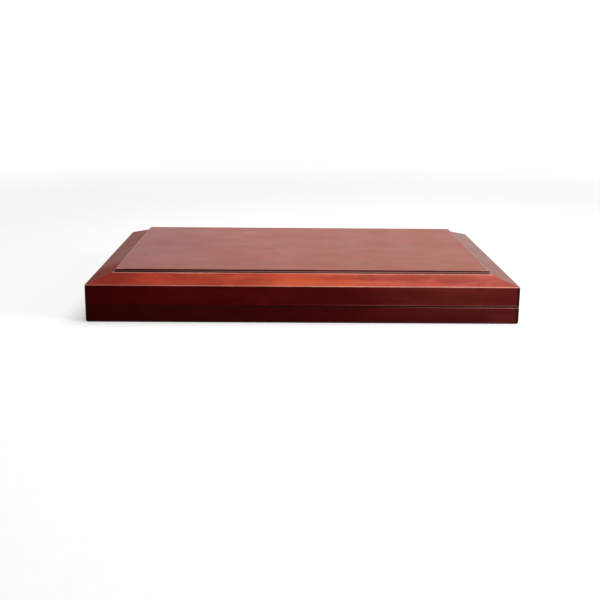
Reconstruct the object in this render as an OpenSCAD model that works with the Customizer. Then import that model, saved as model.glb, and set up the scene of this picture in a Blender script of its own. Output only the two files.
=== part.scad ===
// Wooden games compendium box with a bevelled lid.
// Millimetres, +Z up, front towards -Y.
// The origin is the middle of the underside.

/* [Case] */
// Width of the case, left to right
case_w = 450; // [442:1:560]
// Depth of the case, front to back
case_d = 330; // [326:1:420]
// Height of the base, from the table to the seam
base_h = 17.5; // [16.5:0.5:24]
// Height of the lid's upright edge above the seam
lid_edge_h = 21.5; // [20.5:0.5:30]
// Thickness of the base walls
wall_t = 10; // [9:0.5:11.5]
// Gap between base and lid along the seam
seam_gap = 0.3; // [0.2:0.1:0.8]
// Easing of the outer edges along the seam
seam_ease = 0.5; // [0.2:0.1:1.2]
// Easing of the four upright corners
corner_ease = 1.5; // [0.4:0.1:2]

/* [Lid top] */
// How far the bevel runs inwards from the lid's edge
bevel_run = 26.4; // [20:0.2:36]
// How far the bevel rises over its run
bevel_rise = 8.4; // [6:0.2:14]
// Height of the raised panel above the bevel
panel_step = 3.4; // [1.5:0.1:5]
// Inset of the raised panel's top edge from its foot
panel_slope = 1.8; // [0.5:0.1:4]
// Depth of the groove that holds the panel's tongue
groove_d = 3; // [2:0.5:6]
// Thickness of the panel's tongue
tongue_t = 2.4; // [1.6:0.2:3.2]
// Clearance of the tongue in its groove
groove_clear = 0.15; // [0.1:0.05:0.4]
// Thickness of the lining under the panel
lining_t = 2; // [1:0.5:3]
// Height of the lid's hollow above the foot of its bevel
ceiling_lift = 0.5; // [0.2:0.1:1]

/* [Base] */
// Thickness of the baize under the base
baize_t = 1; // [0.8:0.1:2]
// Inset of the baize from the base's edge
baize_inset = 1; // [0.5:0.1:4]
// Thickness of the floor panel
floor_t = 4; // [3:0.5:5]
// Width of the rebate that holds the floor panel
rebate_w = 5; // [3:0.5:7]
// Thickness of the felt on the floor
felt_t = 1; // [0.5:0.1:1.5]
// Thickness of the liners inside the walls
liner_t = 4; // [3:0.5:5]
// Height of liners and dividers above the seam
liner_rise = 8.5; // [6:0.5:10]
// Thickness of the dividers
divider_t = 5; // [4:0.5:6]
// Clearance between the liners and the lid's walls
lip_clear = 0.4; // [0.3:0.05:0.8]

/* [Games board] */
// Thickness of the reversible board
board_t = 6; // [4:0.5:7]
// Clearance round the board and above it
board_clear = 0.3; // [0.2:0.05:0.5]
// Depth of the batten in front of the board
batten_d = 18; // [16:1:24]
// Depth of the ledge behind the board
ledge_d = 10; // [8:0.5:14]
// Thickness of the ledge's lip under the board
lip_t = 1.8; // [1.2:0.1:2]
// Overlap of the lip and the board
lip_d = 4; // [3:0.5:8]

/* [Turn buttons] */
// Width of a turn button
button_w = 8; // [7:0.5:12]
// Length of a turn button from its screw to its tip
button_reach = 17; // [14:0.5:24]
// Thickness of a turn button
button_t = 1.5; // [1:0.1:2]
// Distance from the middle of the case to each turn button
button_x = 90; // [40:1:110]
// Gap under the batten that lets the button turn
button_gap = 0.2; // [0.1:0.05:0.3]
// Radius of the pivot screws' shanks
pivot_r = 1.5; // [1.2:0.1:2]
// Radial clearance of a part that turns on a screw
pivot_clear = 0.06; // [0.03:0.01:0.1]
// Length of a pivot screw's shank
pivot_l = 6.5; // [5:0.5:8]
// Height of a pivot screw's head
pivot_head_t = 1.1; // [0.8:0.1:1.4]
// Gap under a pivot screw's head
pivot_head_gap = 0.05; // [0.02:0.01:0.1]

/* [Hinges] */
// Length of each hinge
hinge_l = 50; // [40:1:70]
// Distance from the case's side to the hinge's middle
hinge_inset = 70; // [50:1:110]
// Width of a hinge leaf, from the barrel's axis
leaf_w = 8.6; // [7.6:0.2:9]
// Thickness of a hinge leaf
leaf_t = 1.2; // [0.8:0.1:1.6]
// Radius of the hinge barrel
barrel_r = 2.4; // [2:0.1:3]
// Radius of the hinge pin
pin_r = 1.2; // [0.9:0.1:1.4]
// Radial clearance of the pin in the barrel
pin_clear = 0.05; // [0.02:0.01:0.1]
// Number of knuckles in a barrel, an odd number
knuckle_n = 5; // [3:2:7]
// Gap between knuckles
knuckle_gap = 0.2; // [0.1:0.05:0.4]
// Clearance of the wood round the barrel
barrel_clear = 0.3; // [0.2:0.05:0.6]
// Radius of a hinge screw's shank
screw_r = 1; // [0.8:0.05:1.2]
// Length of a hinge screw
screw_l = 8; // [6:0.5:10]
// Radius of a hinge screw's head
screw_head_r = 1.9; // [1.6:0.1:2.2]
// Distance from a hinge's end to its outer screws
screw_margin = 6; // [5:0.5:9]
// Radial clearance of a hinge screw in its leaf
leaf_hole_clear = 0.1; // [0.05:0.05:0.2]
// Thickness of leaf left under a countersunk head
head_land = 0.2; // [0.1:0.05:0.4]
// Radial clearance of a pilot hole round its screw
pilot_clear = 0.05; // [0.02:0.01:0.1]
// Extra depth of a pilot hole beyond its screw
pilot_over = 0.5; // [0.2:0.1:1]
// Width of the slot in a screw's head
slot_w = 0.5; // [0.4:0.1:0.8]
// Depth of the slot in a screw's head
slot_depth = 0.5; // [0.3:0.1:0.7]

/* [Chessmen] */
// Height of a king
king_h = 62; // [54:1:64]
// Base diameter of a king
king_d = 24; // [20:0.5:24.5]
// Height of a queen
queen_h = 56; // [48:1:60]
// Base diameter of a queen
queen_d = 23; // [19:0.5:24]
// Height of a bishop
bishop_h = 46; // [40:1:49]
// Base diameter of a bishop
bishop_d = 21.5; // [18:0.5:22.5]
// Height of a knight
knight_h = 42; // [36:1:48]
// Base diameter of a knight
knight_d = 21.5; // [18:0.5:22.5]
// Height of a rook
rook_h = 38; // [32:1:42]
// Base diameter of a rook
rook_d = 20.5; // [17:0.5:22]
// Height of a pawn
pawn_h = 31; // [26:1:32]
// Base diameter of a pawn
pawn_d = 18; // [15:0.5:19]

/* [Other games] */
// Diameter of a draughtsman
draught_d = 25; // [22:0.5:26]
// Thickness of a draughtsman
draught_t = 6; // [4:0.5:7]
// Width of the raised rim of a draughtsman
draught_rim = 2.5; // [1.5:0.5:4]
// Depth of the dished faces of a draughtsman
draught_dish = 0.6; // [0.3:0.1:1]
// Easing of a draughtsman's edges
draught_ease = 0.4; // [0.2:0.1:0.8]
// Length of a domino
domino_l = 40; // [36:1:42]
// Width of a domino
domino_w = 20; // [18:0.5:21]
// Thickness of a domino
domino_t = 6; // [4:0.5:8]
// Easing of a domino's corners
tile_ease = 0.6; // [0.3:0.1:1.5]
// Width of the line across a domino's face
line_w = 0.8; // [0.5:0.1:1.2]
// Distance from the line's ends to the domino's edges
line_inset = 2; // [1:0.5:4]
// Gap round each domino in its bay
domino_gap = 0.4; // [0.3:0.05:0.8]
// Length of a pack of cards in its case
pack_l = 90; // [84:1:95]
// Width of a pack of cards in its case
pack_w = 64; // [57:1:66]
// Thickness of a pack of cards in its case
pack_t = 16; // [12:0.5:20]
// Easing of a card case's corners
pack_ease = 0.5; // [0.3:0.1:1]
// Radius of the thumb cut in a card case
thumb_r = 9; // [7:0.5:12]
// Depth of the thumb cut in a card case
thumb_depth = 0.5; // [0.3:0.1:1]
// Side of a die
die_a = 14; // [10:0.5:18]
// Side of the doubling cube
cube_a = 18; // [14:0.5:20]

/* [Cribbage board] */
// Depth of the cribbage board, front to back
crib_d = 60; // [54:1:62]
// Thickness of the cribbage board
crib_t = 10; // [8:0.5:11]
// Radius of a peg hole
hole_r = 1.3; // [1:0.1:1.5]
// Depth of a peg hole
hole_depth = 6; // [4:0.5:7]
// Distance between the two rows of a track
row_pitch = 6.5; // [5:0.5:8]
// Distance between the two tracks
track_gap = 14; // [10:0.5:16]
// Extra gap after each five holes
group_gap = 3; // [2:0.5:4]
// Distance from the tracks' ends to the board's end and the pocket
hole_margin = 9; // [7:0.5:12]
// Width of the peg pocket
pocket_w = 12.4; // [12:0.2:14]
// Length of the peg pocket
pocket_l = 34; // [32:0.5:38]
// Depth of the peg pocket
pocket_depth = 5; // [4:0.5:7]
// Thickness of the peg pocket's brass cover
cover_t = 1; // [0.8:0.1:1.5]
// Gap between the cover and the board under it
cover_gap = 0.1; // [0.05:0.05:0.2]
// Width of the cover beyond the pocket, each side
cover_lap = 2; // [1:0.5:3]
// Length of the cover beyond the pocket's end
cover_over = 1.5; // [0.5:0.5:3]
// Distance from the cover to the cribbage board's end
cover_margin = 5; // [3:0.5:8]
// Wood left between the pocket and the cover's screw
pivot_wall = 2.5; // [2:0.5:4]
// Width of the cover's metal round its screw
ear_wall = 3.6; // [3:0.1:4.5]
// Radius of the finger notch in the cover's end
finger_r = 2.5; // [1.5:0.5:4]
// Length of a peg
peg_l = 30; // [26:0.5:31]
// Radius of a peg's head
peg_r = 1.4; // [1.2:0.05:1.5]
// Gap between pegs in the pocket
peg_gap = 0.15; // [0.1:0.05:0.2]

/* [Fit] */
// Gap round the things in their bays
bay_gap = 1.2; // [0.8:0.1:1.5]
// Gap under a thing that lies on its rounded side
seat_gap = 0.1; // [0.05:0.05:0.3]
// Gap between the pieces of a stack
stack_gap = 0.05; // [0.02:0.01:0.1]

/* [Hidden] */
$fn = 48;
eps = 0.01;
over = 1;

// Levels, from the table up
seam_z = base_h;
base_top = seam_z - seam_gap / 2;
lid_bottom = seam_z + seam_gap / 2;
floor_top = baize_t + floor_t;
felt_top = floor_top + felt_t;
liner_top = seam_z + liner_rise;
arris_z = seam_z + lid_edge_h;
ceiling_z = arris_z + ceiling_lift;
bevel_top = arris_z + bevel_rise;
panel_top = bevel_top + panel_step;
board_top = ceiling_z - board_clear;
board_bottom = board_top - board_t;

// Plan sizes
lid_wall_t = wall_t - lip_clear;
inset_in = wall_t + liner_t;
inner_w = case_w - 2 * inset_in;
inner_d = case_d - 2 * inset_in;
inner_x = inner_w / 2;
inner_y = inner_d / 2;
lid_inner_x = case_w / 2 - lid_wall_t;
lid_inner_y = case_d / 2 - lid_wall_t;

// Chessmen as they lie in their bays: row lengths along X and row depths along Y
pawns_in_set = 8;
pawns_in_row = 3;
men_l = max(king_h + rook_h, queen_h + rook_h, 2 * bishop_h, 2 * knight_h, pawns_in_row * pawn_h);
queen_row_d = max(queen_d, rook_d);
king_row_d = max(king_d, rook_d);
men_d = knight_d + bishop_d + queen_row_d + king_row_d;

// Bays, from the front to the back
front_bay_d = max(crib_d, 2 * draught_d + bay_gap) + 2 * bay_gap;
front_div_y = -inner_y + front_bay_d;
rear_y = front_div_y + divider_t;
draught_bay_w = 3 * draught_d + 4 * bay_gap;
draught_div_x = inner_x - draught_bay_w - divider_t;
chess_bay_w = max(men_l + 5 * bay_gap, pack_l + 2 * bay_gap);
side_div_x = inner_x - chess_bay_w - divider_t;
card_bay_d = pack_w + 2 * bay_gap;
card_div_y = rear_y + card_bay_d;
chess_bay_d = inner_y - card_div_y - divider_t;
pawn_space = chess_bay_d - men_d - 5 * bay_gap;
pawn_rows = min(ceil(pawns_in_set / pawns_in_row), floor(pawn_space / (pawn_d + bay_gap)));
pawn_n = min(pawns_in_set, pawns_in_row * pawn_rows);

// Middle bays: an open tray in front, dominoes and dice behind it
domino_n = 28;
domino_pitch_x = domino_l + domino_gap;
domino_pitch_y = domino_w + domino_gap;
dice_bay_min = cube_a + 2 * bay_gap;
domino_space = 2 * side_div_x - divider_t - dice_bay_min - domino_gap;
domino_cols = floor(domino_space / domino_pitch_x);
domino_rows = 7;
domino_bay_w = domino_cols * domino_pitch_x + domino_gap;
domino_bay_d = domino_rows * domino_pitch_y + domino_gap;
domino_div_y = inner_y - domino_bay_d - divider_t;
dice_n = 5;
dice_div_x = -side_div_x + domino_bay_w;
dice_x = (dice_div_x + divider_t + side_div_x) / 2;
stack_n = 5;
stack_layers = 3;

// Cribbage board
crib_l = 2 * draught_div_x - 2 * bay_gap;
crib_y = -inner_y + front_bay_d / 2;
crib_top = felt_top + crib_t;
peg_pitch = 2 * peg_r + peg_gap;
// The pocket as it is cut, never too small for its four pegs
well_w = max(pocket_w, 4 * peg_pitch);
well_l = max(pocket_l, peg_l + 2 * bay_gap);
pocket_x = crib_l / 2 - cover_margin - cover_lap - well_w / 2;
// Two tracks of two rows of holes, in groups of five
track_n = 30;
hole_x0 = -crib_l / 2 + hole_margin;
hole_x1 = pocket_x - well_w / 2 - hole_margin;
hole_pitch = (hole_x1 - hole_x0 - 5 * group_gap) / (track_n - 1);
cover_pivot_y = crib_y + well_l / 2 + pivot_r + pivot_wall;
cover_w = well_w + 2 * cover_lap;
cover_reach = cover_pivot_y - crib_y + well_l / 2 + cover_over;
shoulder_y = cover_pivot_y - crib_y - well_l / 2;

// Hinge axis, along the back of the seam
hinge_y = case_d / 2;
hinge_x = case_w / 2 - hinge_inset;
knuckle_l = hinge_l / knuckle_n;
screw_pitch = hinge_l / 2 - screw_margin;
screw_back = (barrel_r + barrel_clear + leaf_w) / 2;

// Turn buttons
button_y = -lid_inner_y + batten_d / 2;
button_top = board_bottom - button_gap;

cherry = [0.36, 0.08, 0.05];
cherry_bright = [0.55, 0.16, 0.10];
lining_wood = [0.42, 0.20, 0.12];
green_felt = [0.08, 0.22, 0.14];
dark_baize = [0.12, 0.08, 0.08];
boxwood = [0.80, 0.62, 0.38];
ebonised = [0.12, 0.09, 0.08];
walnut = [0.30, 0.17, 0.10];
brass = [0.75, 0.58, 0.28];
ivory = [0.90, 0.87, 0.78];
card_red = [0.60, 0.12, 0.12];
card_blue = [0.14, 0.22, 0.45];

// Rectangle in plan with eased corners
module eased_plan(w, d, ease) {
    polygon([
        [-w / 2 + ease, -d / 2], [w / 2 - ease, -d / 2],
        [w / 2, -d / 2 + ease], [w / 2, d / 2 - ease],
        [w / 2 - ease, d / 2], [-w / 2 + ease, d / 2],
        [-w / 2, d / 2 - ease], [-w / 2, -d / 2 + ease]
    ]);
}

// Plan of one mitred piece of a frame whose outside measures w by d
module mitre_plan(w, d) {
    reach = min(w, d) / 2;
    polygon([
        [-w / 2, -d / 2], [w / 2, -d / 2],
        [w / 2 - reach, -d / 2 + reach], [-w / 2 + reach, -d / 2 + reach]
    ]);
}

// Front piece of a mitred frame; the profile holds points [depth inwards, height]
module mitred_front(w, d, profile) {
    intersection() {
        translate([-w / 2, -d / 2, 0]) rotate([90, 0, 90]) linear_extrude(w) polygon(profile);
        linear_extrude(panel_top) intersection() {
            mitre_plan(w, d);
            eased_plan(w, d, corner_ease);
        }
    }
}

// The same piece along the left side
module mitred_left(w, d, profile) {
    intersection() {
        rotate([0, 0, -90]) translate([-d / 2, -w / 2, 0]) rotate([90, 0, 90])
            linear_extrude(d) polygon(profile);
        linear_extrude(panel_top) intersection() {
            rotate([0, 0, -90]) mitre_plan(d, w);
            eased_plan(w, d, corner_ease);
        }
    }
}

function base_profile() = [
    [0, baize_t + seam_ease], [seam_ease, baize_t], [rebate_w, baize_t], [rebate_w, floor_top],
    [wall_t, floor_top], [wall_t, base_top], [seam_ease, base_top], [0, base_top - seam_ease]
];

function groove_mid() = (ceiling_z + lining_t + bevel_top) / 2;

function rail_profile() = [
    [0, lid_bottom + seam_ease], [seam_ease, lid_bottom], [lid_wall_t, lid_bottom],
    [lid_wall_t, ceiling_z], [bevel_run, ceiling_z],
    [bevel_run, groove_mid() - tongue_t / 2 - groove_clear],
    [bevel_run - groove_d, groove_mid() - tongue_t / 2 - groove_clear],
    [bevel_run - groove_d, groove_mid() + tongue_t / 2 + groove_clear],
    [bevel_run, groove_mid() + tongue_t / 2 + groove_clear],
    [bevel_run, bevel_top], [0, arris_z]
];

// Turns what points up from z = 0 so that it points down where up is -1
module facing(up) {
    mirror([0, 0, up > 0 ? 0 : 1]) children();
}

// Leaf seat, barrel notch and pilot holes that a back wall needs; up is 1 in the lid, -1 in the base
module hinge_seats(up) {
    face = up * seam_gap / 2;
    for (s = [-1, 1]) translate([s * hinge_x, hinge_y, seam_z]) {
        translate([-hinge_l / 2 - knuckle_gap, -leaf_w, face]) facing(up) translate([0, 0, -over])
            cube([hinge_l + 2 * knuckle_gap, leaf_w + over, leaf_t + over]);
        translate([-hinge_l / 2 - barrel_clear, 0, 0]) rotate([0, 90, 0])
            cylinder(r = barrel_r + barrel_clear, h = hinge_l + 2 * barrel_clear);
        for (k = [-1, 0, 1]) translate([k * screw_pitch, -screw_back, face]) facing(up)
            cylinder(r = screw_r + pilot_clear, h = screw_l + pilot_over);
    }
}

module base_front_wall() {
    color(cherry) mitred_front(case_w, case_d, base_profile());
}

module base_back_wall() {
    color(cherry) difference() {
        mirror([0, 1, 0]) mitred_front(case_w, case_d, base_profile());
        hinge_seats(-1);
    }
}

module base_left_wall() {
    color(cherry) mitred_left(case_w, case_d, base_profile());
}

module base_right_wall() {
    color(cherry) mirror([1, 0, 0]) mitred_left(case_w, case_d, base_profile());
}

module base_floor() {
    color(lining_wood) translate([0, 0, baize_t])
        linear_extrude(floor_t) square([case_w - 2 * rebate_w, case_d - 2 * rebate_w], center = true);
}

module base_baize() {
    color(dark_baize) linear_extrude(baize_t)
        eased_plan(case_w - 2 * baize_inset, case_d - 2 * baize_inset, corner_ease);
}

module floor_felt() {
    color(green_felt) translate([0, 0, floor_top])
        linear_extrude(felt_t) square([case_w - 2 * wall_t, case_d - 2 * wall_t], center = true);
}

// Block that stands on the felt, between two corners in plan
module upright(x0, x1, y0, y1) {
    translate([x0, y0, felt_top]) cube([x1 - x0, y1 - y0, liner_top - felt_top]);
}

module liner_front() {
    color(lining_wood)
        upright(-inner_x - liner_t, inner_x + liner_t, -inner_y - liner_t, -inner_y);
}

module liner_back() {
    color(lining_wood) upright(-inner_x - liner_t, inner_x + liner_t, inner_y, inner_y + liner_t);
}

module liner_left() {
    color(lining_wood) upright(-inner_x - liner_t, -inner_x, -inner_y, inner_y);
}

module liner_right() {
    color(lining_wood) upright(inner_x, inner_x + liner_t, -inner_y, inner_y);
}

module divider_front() {
    color(lining_wood) upright(-inner_x, inner_x, front_div_y, front_div_y + divider_t);
}

module divider_left() {
    color(lining_wood) upright(-side_div_x - divider_t, -side_div_x, rear_y, inner_y);
}

module divider_right() {
    color(lining_wood) upright(side_div_x, side_div_x + divider_t, rear_y, inner_y);
}

module draughts_dividers() {
    color(lining_wood) for (s = [0, 1]) mirror([s, 0, 0])
        upright(draught_div_x, draught_div_x + divider_t, -inner_y, front_div_y);
}

module card_dividers() {
    color(lining_wood) for (s = [0, 1]) mirror([s, 0, 0])
        upright(side_div_x + divider_t, inner_x, card_div_y, card_div_y + divider_t);
}

module divider_dominoes() {
    color(lining_wood) upright(-side_div_x, side_div_x, domino_div_y, domino_div_y + divider_t);
}

module divider_dice() {
    color(lining_wood) upright(dice_div_x, dice_div_x + divider_t, domino_div_y + divider_t, inner_y);
}

// Depth of a pivot screw's pilot hole where parts t thick lie between its head and the wood
function pilot_depth(t) = pivot_l - pivot_head_gap - t + pilot_over;

function hole_x(i) = hole_x0 + i * hole_pitch + floor(i / 5) * group_gap;

module cribbage_board() {
    color(walnut) difference() {
        translate([-crib_l / 2, crib_y - crib_d / 2, felt_top]) cube([crib_l, crib_d, crib_t]);
        for (t = [-1, 1], r = [0, 1], i = [0 : track_n - 1])
            translate([hole_x(i), crib_y + t * (track_gap / 2 + r * row_pitch), crib_top - hole_depth])
                cylinder(r = hole_r, h = hole_depth + over, $fn = 24);
        translate([pocket_x - well_w / 2, crib_y - well_l / 2, crib_top - pocket_depth])
            cube([well_w, well_l, pocket_depth + over]);
        translate([pocket_x, cover_pivot_y, crib_top - pilot_depth(cover_gap + cover_t)])
            cylinder(r = pivot_r + pilot_clear, h = pilot_depth(cover_gap + cover_t) + over);
    }
}

// Flat bar that turns on a screw at the origin and points towards +Y
module swivel_plan(w, reach) {
    circle(d = w);
    translate([-w / 2, 0]) square([w, reach - w / 2]);
    translate([0, reach - w / 2]) circle(d = w);
}

// The cover's plan, with its screw at the origin and its far end towards +Y
module cover_plan() {
    difference() {
        union() {
            circle(r = pivot_r + ear_wall);
            translate([-cover_w / 2, shoulder_y - cover_over])
                square([cover_w, cover_reach - shoulder_y + cover_over]);
        }
        circle(r = pivot_r + pivot_clear);
        translate([0, cover_reach]) circle(r = finger_r);
    }
}

module peg_cover() {
    color(brass) translate([pocket_x, cover_pivot_y, crib_top + cover_gap]) mirror([0, 1, 0])
        linear_extrude(cover_t) cover_plan();
}

// Slotted pan-head screw, head above z = 0 and shank below
module pivot_screw() {
    head_r = 2 * pivot_r;
    difference() {
        union() {
            cylinder(r = head_r, h = pivot_head_t);
            translate([0, 0, -pivot_l]) cylinder(r = pivot_r, h = pivot_l + eps);
        }
        translate([-head_r - over, -slot_w / 2, pivot_head_t - slot_depth])
            cube([2 * (head_r + over), slot_w, slot_depth + over]);
    }
}

module peg_cover_screw() {
    color(brass) translate([pocket_x, cover_pivot_y, crib_top + cover_gap + cover_t + pivot_head_gap])
        pivot_screw();
}

// Peg that lies along Y with its head at y = 0
module peg() {
    rotate([-90, 0, 0]) rotate_extrude($fn = 24) polygon([
        [0, 0], [0.8 * peg_r, 0], [peg_r, 0.02 * peg_l], [peg_r, 0.22 * peg_l],
        [0.6 * peg_r, 0.3 * peg_l], [0.85 * peg_r, 0.36 * peg_l], [0.6 * peg_r, peg_l], [0, peg_l]
    ]);
}

// Two of the four pegs that lie side by side in the pocket
module peg_pair(first) {
    for (k = [0, 1]) translate([
        pocket_x + (first + k - 1.5) * peg_pitch,
        crib_y - peg_l / 2,
        crib_top - pocket_depth + peg_r + seat_gap
    ]) peg();
}

module light_pegs() {
    color(boxwood) peg_pair(0);
}

module dark_pegs() {
    color(ebonised) peg_pair(2);
}

// Shares of a man's base radius and height that its shape and its rest on the felt both use
foot_rim = 0.07;
neck_from = 0.3;
pawn_ball = 0.58;
knight_half = 0.38;
knight_brow = 0.93;

// Outlines of the turned men: points [radius, height] for base radius r and height h
function foot(r, h) = [
    [0, 0], [r, 0], [r, foot_rim * h], [0.84 * r, 0.11 * h], [0.87 * r, 0.15 * h]
];

function pawn_outline(r, h) = concat(foot(r, h), [
    [0.56 * r, 0.26 * h], [0.40 * r, 0.42 * h], [0.36 * r, 0.61 * h], [0.64 * r, 0.65 * h],
    [0.64 * r, 0.68 * h], [0.34 * r, 0.72 * h], [0, 0.72 * h]
]);

function rook_outline(r, h) = concat(foot(r, h), [
    [0.62 * r, 0.25 * h], [0.52 * r, 0.55 * h], [0.54 * r, 0.68 * h], [0.78 * r, 0.72 * h],
    [0.78 * r, 0.76 * h], [0.68 * r, 0.79 * h], [0.74 * r, h],
    [0.50 * r, h], [0.50 * r, 0.92 * h], [0, 0.92 * h]
]);

function knight_outline(r, h) = concat(foot(r, h), [
    [0.68 * r, 0.24 * h], [0.66 * r, 0.30 * h], [0, 0.30 * h]
]);

function bishop_outline(r, h) = concat(foot(r, h), [
    [0.54 * r, 0.24 * h], [0.38 * r, 0.42 * h], [0.34 * r, 0.56 * h], [0.62 * r, 0.59 * h],
    [0.62 * r, 0.62 * h], [0.36 * r, 0.65 * h], [0.36 * r, 0.67 * h], [0.50 * r, 0.75 * h],
    [0.45 * r, 0.83 * h], [0.24 * r, 0.91 * h], [0.10 * r, 0.94 * h], [0, 0.94 * h]
]);

function queen_outline(r, h) = concat(foot(r, h), [
    [0.56 * r, 0.23 * h], [0.38 * r, 0.42 * h], [0.34 * r, 0.62 * h], [0.62 * r, 0.65 * h],
    [0.62 * r, 0.68 * h], [0.38 * r, 0.71 * h], [0.36 * r, 0.74 * h], [0.64 * r, 0.90 * h],
    [0.50 * r, 0.92 * h], [0.12 * r, 0.95 * h], [0, 0.95 * h]
]);

function king_outline(r, h) = concat(foot(r, h), [
    [0.56 * r, 0.21 * h], [0.38 * r, 0.40 * h], [0.34 * r, 0.60 * h], [0.64 * r, 0.63 * h],
    [0.64 * r, 0.66 * h], [0.38 * r, 0.68 * h], [0.36 * r, 0.71 * h], [0.62 * r, 0.85 * h],
    [0.48 * r, 0.88 * h], [0.12 * r, 0.91 * h], [0, 0.91 * h]
]);

// Angle at which a turned man comes to lie on its foot and its widest collar
function lie_angle(outline, r, h) =
    min([for (p = outline) if (p[1] > neck_from * h) atan((r - p[0]) / (p[1] - foot_rim * h))]);

// The same for a pawn, which may come to lie on its ball, and for a knight, on the side of its head
function pawn_tilt(r, h) =
    let (ball = pawn_ball * r, rise = h - ball - foot_rim * h)
    min(lie_angle(pawn_outline(r, h), r, h), atan(r / rise) - asin(ball / norm([r, rise])));

function knight_tilt(r, h) = atan((r - knight_half * r) / (knight_brow * h));

module turned(outline) {
    rotate_extrude() polygon(outline);
}

module pawn(r, h) {
    turned(pawn_outline(r, h));
    translate([0, 0, h - pawn_ball * r]) sphere(r = pawn_ball * r);
}

module rook(r, h) {
    difference() {
        turned(rook_outline(r, h));
        for (a = [0, 90]) rotate([0, 0, a + 45]) translate([-r, -0.12 * r, 0.92 * h])
            cube([2 * r, 0.24 * r, 0.2 * h]);
    }
}

module knight(r, h) {
    turned(knight_outline(r, h));
    rotate([90, 0, 0]) linear_extrude(2 * knight_half * r, center = true) polygon([
        [-0.60 * r, 0.28 * h], [-0.66 * r, 0.46 * h], [-0.58 * r, 0.66 * h], [-0.38 * r, 0.84 * h],
        [-0.14 * r, 0.94 * h], [-0.06 * r, h], [0.08 * r, 0.91 * h], [0.34 * r, 0.83 * h],
        [0.62 * r, 0.70 * h], [0.84 * r, 0.58 * h], [0.80 * r, 0.50 * h], [0.58 * r, 0.48 * h],
        [0.34 * r, 0.56 * h], [0.20 * r, 0.54 * h], [0.40 * r, 0.41 * h], [0.56 * r, 0.28 * h]
    ]);
}

module bishop(r, h) {
    difference() {
        turned(bishop_outline(r, h));
        translate([0.16 * r, -r, 0.84 * h]) rotate([0, 30, 0]) cube([0.12 * r, 2 * r, 0.14 * h]);
    }
    translate([0, 0, h - 0.15 * r]) sphere(r = 0.15 * r);
}

module queen(r, h) {
    difference() {
        turned(queen_outline(r, h));
        for (a = [0 : 45 : 315]) rotate([0, 0, a]) translate([0.66 * r, 0, 0.93 * h])
            rotate([0, 90, 0]) cylinder(r = 0.13 * r, h = 0.5 * r, center = true, $fn = 24);
    }
    translate([0, 0, h - 0.18 * r]) sphere(r = 0.18 * r);
}

module king(r, h) {
    turned(king_outline(r, h));
    translate([-0.08 * r, -0.08 * r, 0.9 * h]) cube([0.16 * r, 0.16 * r, 0.1 * h]);
    translate([-0.22 * r, -0.08 * r, 0.94 * h]) cube([0.44 * r, 0.16 * r, 0.03 * h]);
}

// Lays a man down with its foot at x = 0 and its head towards +X, on the felt
module laid(r, h, tilt) {
    translate([r * sin(tilt), 0, felt_top + seat_gap + r * cos(tilt) + foot_rim * h * sin(tilt)])
        rotate([0, 90 + tilt, 0]) children();
}

// Rows of men in a chess bay, from the back: as many pawns as there is room for, then the others
row_depths = concat(
    [for (i = [1 : pawn_rows]) pawn_d],
    [knight_d, bishop_d, queen_row_d, king_row_d]
);

function sum_to(list, n) = n == 0 ? 0 : list[n - 1] + sum_to(list, n - 1);

function row_y(n) = inner_y - bay_gap - sum_to(row_depths, n) - n * bay_gap - row_depths[n] / 2;

// Where a man lies in the right-hand bay: count men of length before lie nearer the middle
module in_row(n, before, count) {
    translate([side_div_x + divider_t + bay_gap * (count + 1) + before, row_y(n), 0]) children();
}

// The light men lie in the left bay and the dark men in the right one
module men(side) {
    mirror([side < 0 ? 1 : 0, 0, 0]) children();
}

module pawns_laid() {
    r = pawn_d / 2;
    for (i = [0 : pawn_n - 1]) {
        place = i % pawns_in_row;
        in_row(floor(i / pawns_in_row), place * pawn_h, place)
            laid(r, pawn_h, pawn_tilt(r, pawn_h)) pawn(r, pawn_h);
    }
}

module knights_laid() {
    r = knight_d / 2;
    for (k = [0, 1]) in_row(pawn_rows, k * knight_h, k)
        laid(r, knight_h, knight_tilt(r, knight_h)) rotate([0, 0, 90]) knight(r, knight_h);
}

module bishops_laid() {
    r = bishop_d / 2;
    tilt = lie_angle(bishop_outline(r, bishop_h), r, bishop_h);
    for (k = [0, 1]) in_row(pawn_rows + 1, k * bishop_h, k) laid(r, bishop_h, tilt) bishop(r, bishop_h);
}

module queen_laid() {
    r = queen_d / 2;
    in_row(pawn_rows + 2, 0, 0) laid(r, queen_h, lie_angle(queen_outline(r, queen_h), r, queen_h))
        queen(r, queen_h);
}

module king_laid() {
    r = king_d / 2;
    in_row(pawn_rows + 3, 0, 0) laid(r, king_h, lie_angle(king_outline(r, king_h), r, king_h))
        king(r, king_h);
}

// One rook lies behind the queen's head and one behind the king's
module rooks_laid() {
    r = rook_d / 2;
    tilt = lie_angle(rook_outline(r, rook_h), r, rook_h);
    in_row(pawn_rows + 2, queen_h, 2) laid(r, rook_h, tilt) rook(r, rook_h);
    in_row(pawn_rows + 3, king_h, 2) laid(r, rook_h, tilt) rook(r, rook_h);
}

module light_king() {
    color(boxwood) men(-1) king_laid();
}

module light_queen() {
    color(boxwood) men(-1) queen_laid();
}

module light_bishops() {
    color(boxwood) men(-1) bishops_laid();
}

module light_knights() {
    color(boxwood) men(-1) knights_laid();
}

module light_rooks() {
    color(boxwood) men(-1) rooks_laid();
}

module light_pawns() {
    color(boxwood) men(-1) pawns_laid();
}

module dark_king() {
    color(ebonised) men(1) king_laid();
}

module dark_queen() {
    color(ebonised) men(1) queen_laid();
}

module dark_bishops() {
    color(ebonised) men(1) bishops_laid();
}

module dark_knights() {
    color(ebonised) men(1) knights_laid();
}

module dark_rooks() {
    color(ebonised) men(1) rooks_laid();
}

module dark_pawns() {
    color(ebonised) men(1) pawns_laid();
}

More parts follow.
